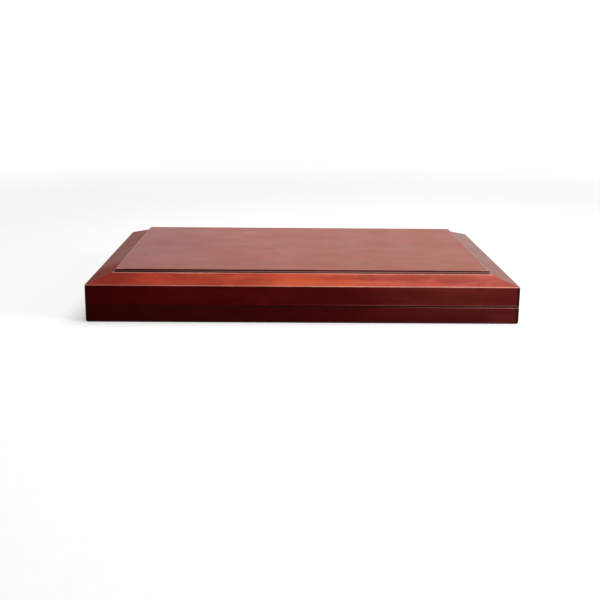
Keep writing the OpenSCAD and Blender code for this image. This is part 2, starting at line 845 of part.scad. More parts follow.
module draughtsman() {
    r = draught_d / 2;
    inner = r - draught_rim;
    rotate_extrude() polygon([
        [0, draught_dish], [inner, draught_dish], [inner, 0], [r - draught_ease, 0],
        [r, draught_ease], [r, draught_t - draught_ease], [r - draught_ease, draught_t],
        [inner, draught_t], [inner, draught_t - draught_dish], [0, draught_t - draught_dish]
    ]);
}

// Stacks in a corner bay: three by the front liner, the others behind them
module draughts_stacked() {
    step = draught_d + bay_gap;
    for (i = [0 : stack_n * stack_layers - 1]) {
        stack = i % stack_n;
        row = floor(stack / 3);
        translate([
            draught_div_x + divider_t + bay_gap + draught_d / 2 + (stack % 3 + row / 2) * step,
            -inner_y + bay_gap + draught_d / 2 + row * step,
            felt_top + floor(i / stack_n) * (draught_t + stack_gap)
        ]) draughtsman();
    }
}

module light_draughts() {
    color(boxwood) men(-1) draughts_stacked();
}

module dark_draughts() {
    color(ebonised) men(1) draughts_stacked();
}

// Domino with its centre line cut across the face
module domino() {
    difference() {
        linear_extrude(domino_t) eased_plan(domino_l, domino_w, tile_ease);
        translate([-line_w / 2, -domino_w / 2 + line_inset, domino_t - line_w / 2])
            cube([line_w, domino_w - 2 * line_inset, over]);
    }
}

module dominoes() {
    color(ivory) for (i = [0 : domino_n - 1]) {
        col = i % domino_cols;
        row = floor(i / domino_cols) % domino_rows;
        layer = floor(i / (domino_cols * domino_rows));
        translate([
            -side_div_x + domino_gap + domino_l / 2 + col * domino_pitch_x,
            inner_y - domino_gap - domino_w / 2 - row * domino_pitch_y,
            felt_top + layer * (domino_t + stack_gap)
        ]) domino();
    }
}

module card_pack() {
    difference() {
        linear_extrude(pack_t) eased_plan(pack_l, pack_w, pack_ease);
        translate([pack_l / 2, 0, pack_t - thumb_depth]) cylinder(r = thumb_r, h = thumb_depth + over);
    }
}

module card_pack_at(side) {
    bay_x = (side_div_x + divider_t + inner_x) / 2;
    men(side) translate([bay_x, rear_y + card_bay_d / 2, felt_top]) card_pack();
}

module card_pack_left() {
    color(card_red) card_pack_at(-1);
}

module card_pack_right() {
    color(card_blue) card_pack_at(1);
}

// Cube whose corners a ball of this share of its side rounds off
cube_round = 0.76;

module rounded_cube(a) {
    translate([0, 0, a / 2]) intersection() {
        cube(a, center = true);
        sphere(r = cube_round * a);
    }
}

// Back edge of the nth die in the row, counted from the back liner
function die_back(n) = inner_y - bay_gap - n * (die_a + bay_gap);

module dice() {
    color(ivory) for (i = [0 : dice_n - 1])
        translate([dice_x, die_back(i) - die_a / 2, felt_top]) rounded_cube(die_a);
}

module doubling_cube() {
    color(ivory) translate([dice_x, die_back(dice_n) - cube_a / 2, felt_top]) rounded_cube(cube_a);
}

function knuckle_x(i) = -hinge_l / 2 + i * knuckle_l;

// Knuckle that starts at x = 0, with the strip that joins it to its leaf
module knuckle(up) {
    w = knuckle_l - knuckle_gap;
    rotate([0, 90, 0]) cylinder(r = barrel_r, h = w);
    translate([0, -barrel_r - barrel_clear - over, up * seam_gap / 2]) facing(up)
        cube([w, barrel_clear + barrel_r / 2 + over, leaf_t]);
}

// Hole for a screw, countersunk from the leaf's open face at z = 0
module leaf_hole() {
    translate([0, 0, -over]) cylinder(r = screw_r + leaf_hole_clear, h = leaf_t + 2 * over);
    cylinder(r1 = screw_head_r + pilot_clear, r2 = screw_r + leaf_hole_clear, h = leaf_t - head_land);
}

// Both leaves of a side; up is 1 for the lid, -1 for the base; odd knuckles belong to the lid
module hinge_leaves(up) {
    face = up * seam_gap / 2;
    for (s = [-1, 1]) translate([s * hinge_x, hinge_y, seam_z]) difference() {
        union() {
            translate([-hinge_l / 2, -leaf_w, face]) facing(up)
                cube([hinge_l, leaf_w - barrel_r - barrel_clear, leaf_t]);
            for (i = [up > 0 ? 1 : 0 : 2 : knuckle_n - 1])
                translate([knuckle_x(i) + knuckle_gap / 2, 0, 0]) knuckle(up);
        }
        translate([-hinge_l / 2 - over, 0, 0]) rotate([0, 90, 0])
            cylinder(r = pin_r + pin_clear, h = hinge_l + 2 * over);
        for (k = [-1, 0, 1]) translate([k * screw_pitch, -screw_back, face]) facing(up) leaf_hole();
    }
}

module base_hinge_leaves() {
    color(brass) hinge_leaves(-1);
}

module lid_hinge_leaves() {
    color(brass) hinge_leaves(1);
}

module hinge_pins() {
    color(brass) for (s = [-1, 1])
        translate([s * hinge_x - hinge_l / 2, hinge_y, seam_z]) rotate([0, 90, 0])
            cylinder(r = pin_r, h = hinge_l);
}

// Countersunk screw, its slotted head's face at z = 0
module hinge_screw() {
    difference() {
        union() {
            cylinder(r1 = screw_head_r, r2 = screw_r, h = leaf_t - head_land);
            cylinder(r = screw_r, h = screw_l);
        }
        translate([-screw_head_r - over, -slot_w / 2, -over])
            cube([2 * (screw_head_r + over), slot_w, slot_depth + over]);
    }
}

// Screws of one side; up is 1 for the lid, -1 for the base
module hinge_screws(up) {
    for (s = [-1, 1], k = [-1, 0, 1])
        translate([s * hinge_x + k * screw_pitch, hinge_y - screw_back, seam_z + up * seam_gap / 2])
            facing(up) hinge_screw();
}

module base_hinge_screws() {
    color(brass) hinge_screws(-1);
}

module lid_hinge_screws() {
    color(brass) hinge_screws(1);
}

module lid_front_rail() {
    color(cherry_bright) mitred_front(case_w, case_d, rail_profile());
}

module lid_back_rail() {
    color(cherry_bright) difference() {
        mirror([0, 1, 0]) mitred_front(case_w, case_d, rail_profile());
        hinge_seats(1);
    }
}

module lid_left_rail() {
    color(cherry_bright) mitred_left(case_w, case_d, rail_profile());
}

module lid_right_rail() {
    color(cherry_bright) mirror([1, 0, 0]) mitred_left(case_w, case_d, rail_profile());
}

// Cross-section of the raised panel for a full width w, with its tongue
module panel_section(w) {
    foot = ceiling_z + lining_t;
    tongue = groove_d - groove_clear;
    low = groove_mid() - tongue_t / 2;
    high = groove_mid() + tongue_t / 2;
    polygon([
        [-w / 2, foot], [w / 2, foot], [w / 2, low], [w / 2 + tongue, low], [w / 2 + tongue, high],
        [w / 2, high], [w / 2, bevel_top], [w / 2 - panel_slope, panel_top],
        [-w / 2 + panel_slope, panel_top], [-w / 2, bevel_top], [-w / 2, high],
        [-w / 2 - tongue, high], [-w / 2 - tongue, low], [-w / 2, low]
    ]);
}

module lid_panel() {
    panel_w = case_w - 2 * bevel_run;
    panel_d = case_d - 2 * bevel_run;
    color(cherry_bright) intersection() {
        rotate([90, 0, 0]) linear_extrude(case_d, center = true) panel_section(panel_w);
        rotate([90, 0, 90]) linear_extrude(case_w, center = true) panel_section(panel_d);
    }
}

module lid_lining() {
    color(green_felt) translate([0, 0, ceiling_z]) linear_extrude(lining_t)
        square([case_w - 2 * bevel_run, case_d - 2 * bevel_run], center = true);
}

module games_board() {
    front = -lid_inner_y + batten_d + board_clear;
    back = lid_inner_y - ledge_d - board_clear;
    half_w = lid_inner_x - board_clear;
    color(walnut) translate([-half_w, front, board_bottom]) cube([2 * half_w, back - front, board_t]);
}

module board_batten() {
    color(lining_wood) difference() {
        translate([-lid_inner_x, -lid_inner_y, board_bottom])
            cube([2 * lid_inner_x, batten_d, ceiling_z - board_bottom]);
        for (s = [-1, 1]) translate([s * button_x, button_y, board_bottom - over])
            cylinder(r = pivot_r + pilot_clear, h = pilot_depth(button_gap + button_t) + over);
    }
}

module board_ledge() {
    color(lining_wood) translate([-lid_inner_x, lid_inner_y, 0]) rotate([90, 0, 90])
        linear_extrude(2 * lid_inner_x) polygon([
            [0, ceiling_z], [-ledge_d, ceiling_z], [-ledge_d, board_bottom],
            [-ledge_d - lip_d, board_bottom], [-ledge_d - lip_d, board_bottom - lip_t],
            [0, board_bottom - lip_t]
        ]);
}

module turn_button(side) {
    translate([side * button_x, button_y, button_top - button_t]) linear_extrude(button_t) difference() {
        swivel_plan(button_w, button_reach);
        circle(r = pivot_r + pivot_clear);
    }
}

module turn_button_left() {
    color(brass) turn_button(-1);
}

module turn_button_right() {
    color(brass) turn_button(1);
}

module turn_button_screws() {
    color(brass) for (s = [-1, 1])
        translate([s * button_x, button_y, button_top - button_t - pivot_head_gap]) facing(-1)
            pivot_screw();
}

base_front_wall();
base_back_wall();
base_left_wall();
base_right_wall();
base_floor();
base_baize();
floor_felt();
liner_front();
liner_back();
liner_left();
liner_right();
divider_front();
divider_left();
divider_right();
draughts_dividers();
card_dividers();
divider_dominoes();
divider_dice();
cribbage_board();
peg_cover();
peg_cover_screw();
light_pegs();
dark_pegs();
light_king();
light_queen();
light_bishops();
light_knights();
light_rooks();
light_pawns();
dark_king();
dark_queen();
dark_bishops();
dark_knights();
dark_rooks();
dark_pawns();
light_draughts();
dark_draughts();
dominoes();
card_pack_left();
card_pack_right();
dice();
doubling_cube();
base_hinge_leaves();
hinge_pins();
base_hinge_screws();
lid_front_rail();
lid_back_rail();
lid_left_rail();
lid_right_rail();
lid_panel();
lid_lining();
games_board();
board_batten();
board_ledge();
lid_hinge_leaves();
lid_hinge_screws();
turn_button_left();
turn_button_right();
turn_button_screws();
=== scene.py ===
"""Looks of a games compendium box: a cherry-red lacquered case with a bevelled lid, fitted out with games.

Everything is in metres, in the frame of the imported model.
"""
from functools import partial, reduce
from itertools import combinations_with_replacement
from math import asin, atan, cos, hypot, pi, radians, sin, sqrt

import bmesh
import bpy
from mathutils import Matrix, Vector


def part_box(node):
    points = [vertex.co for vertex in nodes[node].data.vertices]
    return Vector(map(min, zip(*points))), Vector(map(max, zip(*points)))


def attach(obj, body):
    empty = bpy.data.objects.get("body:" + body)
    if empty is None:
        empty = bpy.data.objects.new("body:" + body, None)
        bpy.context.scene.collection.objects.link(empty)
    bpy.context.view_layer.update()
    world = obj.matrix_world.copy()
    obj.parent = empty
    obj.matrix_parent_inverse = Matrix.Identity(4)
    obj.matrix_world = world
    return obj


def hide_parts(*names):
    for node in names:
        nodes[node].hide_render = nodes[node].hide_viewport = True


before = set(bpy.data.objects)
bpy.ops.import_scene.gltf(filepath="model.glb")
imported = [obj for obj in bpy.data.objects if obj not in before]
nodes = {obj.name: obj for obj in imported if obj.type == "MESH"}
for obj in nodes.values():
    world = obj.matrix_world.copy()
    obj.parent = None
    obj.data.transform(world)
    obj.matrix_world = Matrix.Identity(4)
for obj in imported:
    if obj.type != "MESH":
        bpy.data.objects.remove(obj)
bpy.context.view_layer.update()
MM = 0.001


def add_object(name, data):
    made = bpy.data.objects.new(name, data)
    bpy.context.scene.collection.objects.link(made)
    return made


def moved(x, y, z):
    return Matrix.Translation((x, y, z))


# Camera, as fitted to the box's corners in the photograph

CAMERA_PLACE = Vector((-0.01688, -1.16037, 0.26194))
CAMERA_PITCH = radians(13.41)
CAMERA_YAW = radians(0.797)
CAMERA_ROLL = radians(0.516)
FOCAL_PIXELS = 990.2
FRAME_PIXELS = 600
SENSOR = 36.0


def make_camera():
    data = bpy.data.cameras.new("camera")
    data.sensor_width = SENSOR
    data.lens = SENSOR * FOCAL_PIXELS / FRAME_PIXELS
    camera = add_object("camera", data)
    ahead = Vector((sin(CAMERA_YAW) * cos(CAMERA_PITCH),
                    cos(CAMERA_YAW) * cos(CAMERA_PITCH), -sin(CAMERA_PITCH)))
    level = Vector((cos(CAMERA_YAW), -sin(CAMERA_YAW), 0))
    upright = level.cross(ahead)
    right = cos(CAMERA_ROLL) * level + sin(CAMERA_ROLL) * upright
    up = -sin(CAMERA_ROLL) * level + cos(CAMERA_ROLL) * upright
    turned = Matrix((right, up, -ahead)).transposed()
    camera.matrix_world = Matrix.Translation(CAMERA_PLACE) @ turned.to_4x4()
    bpy.context.scene.camera = camera


# Short calls for building materials. Noise mostly stays between these two values.

NOISE_LOW = 0.3
NOISE_HIGH = 0.7


def feed(tree, socket, value):
    """Links a socket to another one, or sets its constant."""
    if isinstance(value, bpy.types.NodeSocket):
        tree.links.new(value, socket)
    else:
        socket.default_value = value


def wire(tree, kind, output, inputs, **settings):
    """Adds a node, feeds its inputs and gives one of its outputs."""
    node = tree.nodes.new(kind)
    for key, value in settings.items():
        setattr(node, key, value)
    for socket, value in inputs.items():
        feed(tree, node.inputs[socket], value)
    return node.outputs[output]


class Finish:
    """One material and the nodes that feed its surface shader."""

    def __init__(self, name):
        self.material = bpy.data.materials.new(name)
        self.material.use_nodes = True
        self.tree = self.material.node_tree
        self.surface = self.tree.nodes["Principled BSDF"]
        self.node = partial(wire, self.tree)
        self.place = self.node("ShaderNodeTexCoord", "Object", {})

    def set(self, **values):
        for key, value in values.items():
            feed(self.tree, self.surface.inputs[key.replace("_", " ")], value)

    def pattern(self, scale, shift=(0, 0, 0)):
        """Place in a pattern, whose repeats per metre are one number or one for each axis."""
        scales = scale if isinstance(scale, tuple) else (scale, scale, scale)
        return self.node("ShaderNodeMapping", "Vector",
                         {"Vector": self.place, "Scale": scales, "Location": shift})

    def noise(self, scale, shift=(0, 0, 0), detail=3.0, rough=0.55, bend=0.0):
        return self.node("ShaderNodeTexNoise", "Fac", {
            "Vector": self.pattern(scale, shift), "Scale": 1.0, "Detail": detail, "Roughness": rough,
            "Distortion": bend})

    def cells(self, scale):
        return self.node("ShaderNodeTexVoronoi", "Distance", {"Vector": self.pattern(scale), "Scale": 1.0})

    def ramp(self, value, low, high, first=0.0, last=1.0):
        """Maps low..high onto first..last, smoothly and clamped."""
        return self.node("ShaderNodeMapRange", "Result", {
            "Value": value, "From Min": low, "From Max": high, "To Min": first, "To Max": last},
            interpolation_type="SMOOTHSTEP")

    def vary(self, noise, first=0.0, last=1.0):
        """Spreads noise from first to last."""
        return self.ramp(noise, NOISE_LOW, NOISE_HIGH, first, last)

    def maths(self, operation, a, b=0.0):
        return self.node("ShaderNodeMath", 0, {0: a, 1: b}, operation=operation)

    def plus(self, a, b):
        return self.maths("ADD", a, b)

    def minus(self, a, b):
        return self.maths("SUBTRACT", a, b)

    def times(self, *values):
        return reduce(partial(self.maths, "MULTIPLY"), values)

    def largest(self, *values):
        return reduce(partial(self.maths, "MAXIMUM"), values)

    def axis(self, letter):
        return self.node("ShaderNodeSeparateXYZ", letter, {0: self.place})

    def from_middle(self, letter):
        """Distance from the middle of the box along an axis."""
        return self.maths("ABSOLUTE", self.axis(letter))

    def blend(self, factor, a, b, mode="MIX"):
        return self.node("ShaderNodeMix", "Result", {"Factor": factor, "A": a, "B": b},
                         data_type="RGBA", blend_type=mode)

    def bump(self, height, strength, depth):
        self.set(Normal=self.node("ShaderNodeBump", "Normal",
                                  {"Height": height, "Strength": strength, "Distance": depth}))


def linear(channel):
    value = channel / 255
    return value / 12.92 if value <= 0.04045 else ((value + 0.055) / 1.055) ** 2.4


def rgb(red, green, blue):
    """Colour written as it looks on a screen, 0 to 255."""
    return (linear(red), linear(green), linear(blue), 1.0)


# Woods. Each pattern is given in repeats per metre along the grain and across it.

BLOTCHES = (9, 26)
STREAKS = (5, 210)
FIBRES = (35, 1500)
PORES = (70, 2600)
PORE_BLACK = (0.01, 0.004, 0.002, 1.0)


def grain(direction, pattern):
    """Scale of a pattern whose grain runs along X or along Y."""
    along, across = pattern
    return (along, across, across) if direction == "X" else (across, along, across)


def wood(name, pale, deep, direction="X", streak=0.5, blotch=0.5, rough=0.32, level=0.5, pores=0.15):
    """Stained and lacquered wood: blotches, long streaks and short dark pores along one direction."""
    f = Finish(name)
    blotches = f.noise(grain(direction, BLOTCHES), detail=2.5, bend=0.6)
    streaks = f.noise(grain(direction, STREAKS), detail=5, rough=0.65, bend=0.3)
    fibres = f.noise(grain(direction, FIBRES), detail=3)
    marks = f.noise(grain(direction, PORES), detail=2)
    base = f.blend(f.ramp(blotches, 0.5 - 0.5 * blotch, 0.5 + 0.5 * blotch), deep, pale)
    base = f.blend(f.times(f.ramp(streaks, 0.28, 0.72), streak), base, f.blend(0.55, base, deep))
    base = f.blend(f.ramp(fibres, 0.35, 0.75, last=0.22), base, f.blend(0.5, base, deep))
    base = f.blend(f.ramp(marks, 0.62, 0.72, last=pores), base, PORE_BLACK)
    f.set(Base_Color=base, Specular_IOR_Level=level)
    f.set(Roughness=f.vary(f.noise(30, detail=4), rough - 0.05, rough + 0.07))
    f.bump(f.plus(f.times(fibres, 0.5), f.times(marks, 0.5)), 0.12, 0.1 * MM)
    return f.material


# Cherry lacquer: stains at the left end, in the middle and at the right end, where most are paler and
# greyer, and how strong the dark figure and the crimson streaks are in them.

STAINS = {
    "bevel_front": (rgb(154, 36, 12), rgb(198, 82, 46), rgb(182, 86, 68), 0.8, 0.9),
    "bevel_side": (rgb(124, 38, 24), rgb(122, 44, 28), rgb(128, 66, 44), 0.5, 0.6),
    "panel": (rgb(136, 46, 22), rgb(154, 64, 34), rgb(152, 68, 34), 0.3, 0.4),
    # Painted shade: the upright faces of lid and base are stained darker than the bevel and the top.
    "lid_upright_shaded": (rgb(90, 5, 5), rgb(105, 22, 18), rgb(128, 48, 38), 0.7, 0.7),
    "base_upright_shaded": (rgb(66, 5, 5), rgb(83, 14, 14), rgb(106, 36, 32), 0.7, 0.7),
}
FIGURE_DARK = (0.62, 0.48, 0.48, 1.0)
CRIMSON = (0.96, 0.66, 0.86, 1.0)
# Painted shade: darkest red of the upright corners and of the shadow in the seam between lid and base
DARKEST_SHADE = rgb(22, 6, 6)
# Painted shade on the panel's raised edge and along the shut part of the seam
DEEP_SHADE = rgb(40, 16, 14)
STEP_GREY = rgb(150, 105, 98)
PORE_DARK = rgb(38, 9, 8)
# Pink of the painted highlights and paler lines, and of the real scuffs
HIGHLIGHT_AND_WEAR_PINK = rgb(232, 170, 152)
# Painted reflection: a pale haze on the side bevels towards the back
HAZE_PAINTED = rgb(176, 134, 122)
LACQUER_TINT = (1.0, 0.42, 0.36, 1.0)

FIGURE = (5, 44)
FIGURE_PATCHES = (17, 26)
CRIMSON_STREAKS = (15, 130)
FINE_STREAKS = (9, 420)
FINE_PORES = (90, 2400)

# Where in the patterns each part is cut from
CUT = {"front": (0.3, 0.2, 0.1), "left": (0.5, 0.9, 0.4), "right": (0.1, 0.4, 0.7), "panel": (0.7, 0.5, 0.3)}

HAIR = 0.01 * MM

rail_low, rail_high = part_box("lid_front_rail")
base_low, base_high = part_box("base_front_wall")
panel_top_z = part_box("lid_panel")[1].z
half_w = rail_high.x
half_d = -rail_low.y


def reach_of(node, axis, level):
    """How far the part of a node above a level reaches along an axis."""
    return max(v.co[axis] for v in nodes[node].data.vertices if v.co.z > level)


arris_z = max(v.co.z for v in nodes["lid_front_rail"].data.vertices if v.co.y < -half_d + HAIR)
panel_top_x = reach_of("lid_panel", 0, panel_top_z - HAIR)
panel_top_y = reach_of("lid_panel", 1, panel_top_z - HAIR)
panel_foot_x = reach_of("lid_panel", 0, rail_high.z - HAIR)
panel_foot_y = reach_of("lid_panel", 1, rail_high.z - HAIR)

# Height and reach of the lines round the case: painted highlights, painted shade and paler lines
LINES = {
    "foot": (base_low.z, 0.9 * MM),
    "seam": (base_high.z, 0.7 * MM),
    # The shut and open seam lines are painted shade in the seam between lid and base
    "shut_seam_shade": (base_high.z, 0.8 * MM),
    "open_seam": (rail_low.z, 2.0 * MM),
    "lower_lid": (rail_low.z + 1.7 * MM, 1.1 * MM),
    "arris": (arris_z - 0.15 * MM, 0.7 * MM),
    "panel_foot": (panel_top_z - 2.1 * MM, 0.9 * MM),
    "panel_rim": (panel_top_z, 0.5 * MM),
}
# Reach of the painted highlights and painted shade across the faces
HEAD_REACH = 2.6 * MM
RIM_REACH = 1.6 * MM
CORNER_SHADE_REACH = 3.6 * MM
CASE_CORNER = 6 * MM
PANEL_CORNER = 14 * MM


def near(f, value, place, reach):
    """1 at a place along an axis, falling to 0 within reach."""
    return f.ramp(f.maths("ABSOLUTE", f.minus(value, place)), 0.3 * reach, reach, 1.0, 0.0)


def line(f, name):
    height, reach = LINES[name]
    return near(f, f.axis("Z"), height, reach)


def to_right(f, start, end, first=0.0, last=1.0):
    """Changes from first to last between two places, each a share of half the width."""
    return f.ramp(f.axis("X"), start * half_w, end * half_w, first, last)


def behind(f, edge, start, end, first=0.0, last=1.0):
    """Changes from first to last between two distances behind a front edge."""
    return f.ramp(f.axis("Y"), start - edge, end - edge, first, last)


def beyond(f, x, y):
    """Distance outside a rectangle about the middle, less than 0 inside it."""
    return f.largest(f.minus(f.from_middle("X"), x), f.minus(f.from_middle("Y"), y))


def corner_of(f, x, y, reach):
    """1 at the four corners of a rectangle about the middle, falling to 0 within reach."""
    return f.times(near(f, f.from_middle("X"), x, reach), near(f, f.from_middle("Y"), y, reach))


def outside(f):
    """1 on the outer faces of the case, 0 further in."""
    return f.ramp(beyond(f, half_w, half_d), -0.9 * MM, -0.3 * MM)


def dark_corner(f):
    """Painted shade: the upright corners of the case are darkened."""
    return f.times(corner_of(f, half_w, half_d, CORNER_SHADE_REACH), 0.8)


def open_seam(f):
    """Strength of the painted shadow in the seam between lid and base, which grows towards the right."""
    return to_right(f, 0.2, 0.72, 0.12, 1.0)


def broken(f):
    """Slow and quick changes along a painted highlight line, 0.4 to 1."""
    slow = f.ramp(f.noise(13, detail=3), 0.35, 0.65, 0.6, 1.0)
    quick = f.vary(f.noise(170, detail=3), 0.7, 1.0)
    return f.times(slow, quick)


def scuffs(f):
    """A few small marks, far apart."""
    spots = f.ramp(f.cells((34, 34, 60)), 0.03, 0.055, 1.0, 0.0)
    scarce = f.ramp(f.noise((7, 7, 9), detail=1), 0.56, 0.62)
    return f.times(spots, scarce, 0.4)


def figured(f, direction, shift, stain):
    """Cherry's soft dark figure over a stain that changes slowly from left to right."""
    left, middle, right, figure_depth, crimson_depth = STAINS[stain]
    patches = f.noise(11, shift, detail=2)
    along = f.plus(f.axis("X"), f.times(f.minus(patches, 0.5), 1.2 * half_w))
    base = f.blend(f.ramp(along, -half_w, -0.1 * half_w), left, middle)
    base = f.blend(f.ramp(along, 0, half_w), base, right)
    figure = f.noise(grain(direction, FIGURE), shift, detail=3, rough=0.5, bend=0.9)
    blotch = f.noise(grain(direction, FIGURE_PATCHES), shift, detail=2, bend=1.2)
    tone = f.plus(f.times(figure, 0.5), f.times(blotch, 0.5))
    redder = f.noise(grain(direction, CRIMSON_STREAKS), shift, detail=4, rough=0.6, bend=0.6)
    crimson = f.blend(1.0, base, CRIMSON, "MULTIPLY")
    base = f.blend(f.ramp(redder, 0.45, 0.56, last=crimson_depth), base, crimson)
    shade = f.blend(1.0, base, FIGURE_DARK, "MULTIPLY")
    return f.blend(f.ramp(tone, 0.4, 0.6, figure_depth, 0.0), base, shade)


def wall_stain(f, direction, shift):
    """Dark maroon, a painted shade, darker still at the corners and along the shut part of the seam."""
    base = figured(f, direction, shift, "base_upright_shaded")
    base = f.blend(dark_corner(f), base, DARKEST_SHADE)
    shut = f.times(f.minus(1.0, open_seam(f)), outside(f))
    return f.blend(f.times(line(f, "shut_seam_shade"), shut), base, DEEP_SHADE)


def rail_stain(f, direction, shift):
    """Dark maroon up to the arris, a painted shade that is darker still at the corners and in the seam, and
    brighter on the bevel. The side bevels have a pale painted reflection towards the back, most on the left.
    """
    edge = figured(f, direction, shift, "lid_upright_shaded")
    edge = f.blend(dark_corner(f), edge, DARKEST_SHADE)
    edge = f.blend(f.times(line(f, "open_seam"), open_seam(f)), edge, DARKEST_SHADE)
    bevel = figured(f, direction, shift, "bevel_front" if direction == "X" else "bevel_side")
    if direction == "Y":
        haze = f.times(behind(f, half_d, 0.3 * half_d, 0.65 * half_d), to_right(f, -1, 1, 0.36, 0.08))
        bevel = f.blend(haze, bevel, HAZE_PAINTED)
    return f.blend(f.ramp(f.axis("Z"), arris_z - 0.5 * MM, arris_z + 0.1 * MM), edge, bevel)


def panel_stain(f, direction, shift):
    """The panel's raised edge is dark, a painted shade, with a greyer line above its foot."""
    grey = f.times(line(f, "panel_foot"), to_right(f, -0.8, 0, 0.25, 1.0))
    step = f.blend(grey, DEEP_SHADE, STEP_GREY)
    top = figured(f, direction, shift, "panel")
    return f.blend(f.ramp(f.axis("Z"), panel_top_z - 0.35 * MM, panel_top_z - 0.1 * MM), step, top)


def wall_wear(f):
    """A painted highlight along the seam and a fainter pale line at the foot, both stronger towards the
    right.
    """
    seam = f.times(line(f, "seam"), to_right(f, 0.3, 0.9, 0.02, 0.65))
    foot_line = f.times(line(f, "foot"), to_right(f, -0.4, 0.5, 0.1, 0.3))
    return f.times(f.largest(seam, foot_line), outside(f), broken(f))


def rail_wear(f):
    """Painted highlights along the arris, most at its corners, at the bevel's head and low on the right."""
    strength = f.times(to_right(f, -1, 0.4, 0.55, 0.95), behind(f, half_d, 3 * MM, 12 * MM, 1.0, 0.25))
    strength = f.largest(strength, f.times(corner_of(f, half_w, half_d, CASE_CORNER), 0.95))
    arris = f.times(line(f, "arris"), strength)
    head = f.times(near(f, beyond(f, panel_foot_x, panel_foot_y), 0.0, HEAD_REACH),
                   behind(f, panel_foot_y, 0, 9 * MM, 0.8, 0.2))
    lower = f.times(line(f, "lower_lid"), to_right(f, -0.1, 0.4, 0.0, 0.12), outside(f))
    return f.times(f.largest(arris, head, lower), broken(f))


def panel_wear(f):
    """Painted highlight along the rim of the raised panel, strongest at its corners."""
    rim = f.largest(near(f, f.from_middle("X"), panel_top_x, RIM_REACH),
                    near(f, f.from_middle("Y"), panel_top_y, RIM_REACH))
    strength = f.largest(0.22, f.times(corner_of(f, panel_top_x, panel_top_y, PANEL_CORNER), 0.9))
    return f.times(rim, strength, line(f, "panel_rim"), broken(f))


def cherry(name, stain, paler_marks, direction, shift, level, rough):
    """Stained cherry under satin lacquer: the stain gives colour and painted shade, the marks painted
    highlights and pale lines.
    """
    f = Finish(name)
    streaks = f.noise(grain(direction, FINE_STREAKS), shift, detail=4, rough=0.6, bend=0.2)
    pores = f.noise(grain(direction, FINE_PORES), shift, detail=2)
    base = stain(f, direction, shift)
    base = f.blend(f.ramp(streaks, 0.46, 0.72, last=0.2), base, f.blend(0.6, base, PORE_DARK))
    base = f.blend(f.ramp(pores, 0.6, 0.75, last=0.2), base, PORE_DARK)
    # Painted highlights and paler lines, then real scuffs
    base = f.blend(paler_marks(f), base, HIGHLIGHT_AND_WEAR_PINK)
    base = f.blend(scuffs(f), base, HIGHLIGHT_AND_WEAR_PINK)
    f.set(Base_Color=base, Specular_IOR_Level=level, Specular_Tint=LACQUER_TINT)
    f.set(Roughness=f.vary(f.noise(22, detail=3), rough - 0.025, rough + 0.035))
    f.bump(f.plus(f.times(streaks, 0.6), f.times(pores, 0.4)), 0.15, 0.06 * MM)
    return f.material


INNER_WOODS = {
    "floor": ("floor_ply", rgb(176, 132, 88), rgb(140, 96, 60), dict(rough=0.6, level=0.3, pores=0.3)),
    "light": ("boxwood", rgb(226, 184, 118), rgb(196, 146, 84), dict(streak=0.35, rough=0.3, pores=0.1)),
    "dark": ("ebonised_wood", rgb(58, 40, 32), rgb(30, 20, 17), dict(rough=0.28, pores=0.1)),
    "walnut": ("walnut", rgb(126, 80, 50), rgb(74, 42, 26), dict(streak=0.7, rough=0.35, pores=0.35)),
    "field_light": ("veneer_maple", rgb(222, 180, 122), rgb(196, 148, 92),
                    dict(direction="Y", streak=0.4, rough=0.25, pores=0.12)),
    "field_dark": ("veneer_rosewood", rgb(92, 44, 28), rgb(48, 22, 15),
                   dict(streak=0.6, rough=0.25, pores=0.2)),
    "board_edge": ("veneer_cherry", rgb(164, 78, 44), rgb(118, 48, 28),
                   dict(streak=0.6, rough=0.25, pores=0.2)),
}
LINING = dict(pale=rgb(164, 96, 60), deep=rgb(88, 40, 25), streak=0.85, blotch=0.3, rough=0.42, level=0.35,
              pores=0.45)


def make_woods():
    woods = {}
    for direction, side in (("X", "front"), ("Y", "left")):
        woods["side_" + direction] = cherry("cherry_side_" + direction, wall_stain, wall_wear, direction,
                                            CUT[side], 0.06, 0.34)
        woods["lining_" + direction] = wood("mahogany_lining_" + direction, direction=direction, **LINING)
    woods["rail_front"] = cherry("cherry_rail", rail_stain, rail_wear, "X", CUT["front"], 0.05, 0.32)
    woods["rail_back"] = woods["rail_front"]
    woods["rail_left"] = cherry("cherry_rail_left", rail_stain, rail_wear, "Y", CUT["left"], 0.003, 0.38)
    woods["rail_right"] = cherry("cherry_rail_right", rail_stain, rail_wear, "Y", CUT["right"], 0.048, 0.3)
    woods["panel"] = cherry("cherry_panel", panel_stain, panel_wear, "X", CUT["panel"], 0.06, 0.3)
    for key, (name, pale, deep, settings) in INNER_WOODS.items():
        woods[key] = wood(name, pale, deep, **settings)
    return woods


# Other materials

CASE_PITCH = 4.2 * MM


def brass_finish():
    """Lacquered brass with fine scratches and faint tarnish."""
    f = Finish("brass")
    tarnish = f.noise(60, detail=4)
    brushed = f.noise((120, 4200, 4200), detail=2)
    f.set(Base_Color=f.blend(f.ramp(tarnish, 0.45, 0.75, last=0.4), rgb(204, 168, 108), rgb(152, 118, 70)))
    f.set(Metallic=1.0, Roughness=f.ramp(f.plus(tarnish, f.times(brushed, 0.4)), 0.5, 0.9, 0.24, 0.4))
    f.bump(brushed, 0.06, 0.03 * MM)
    return f.material


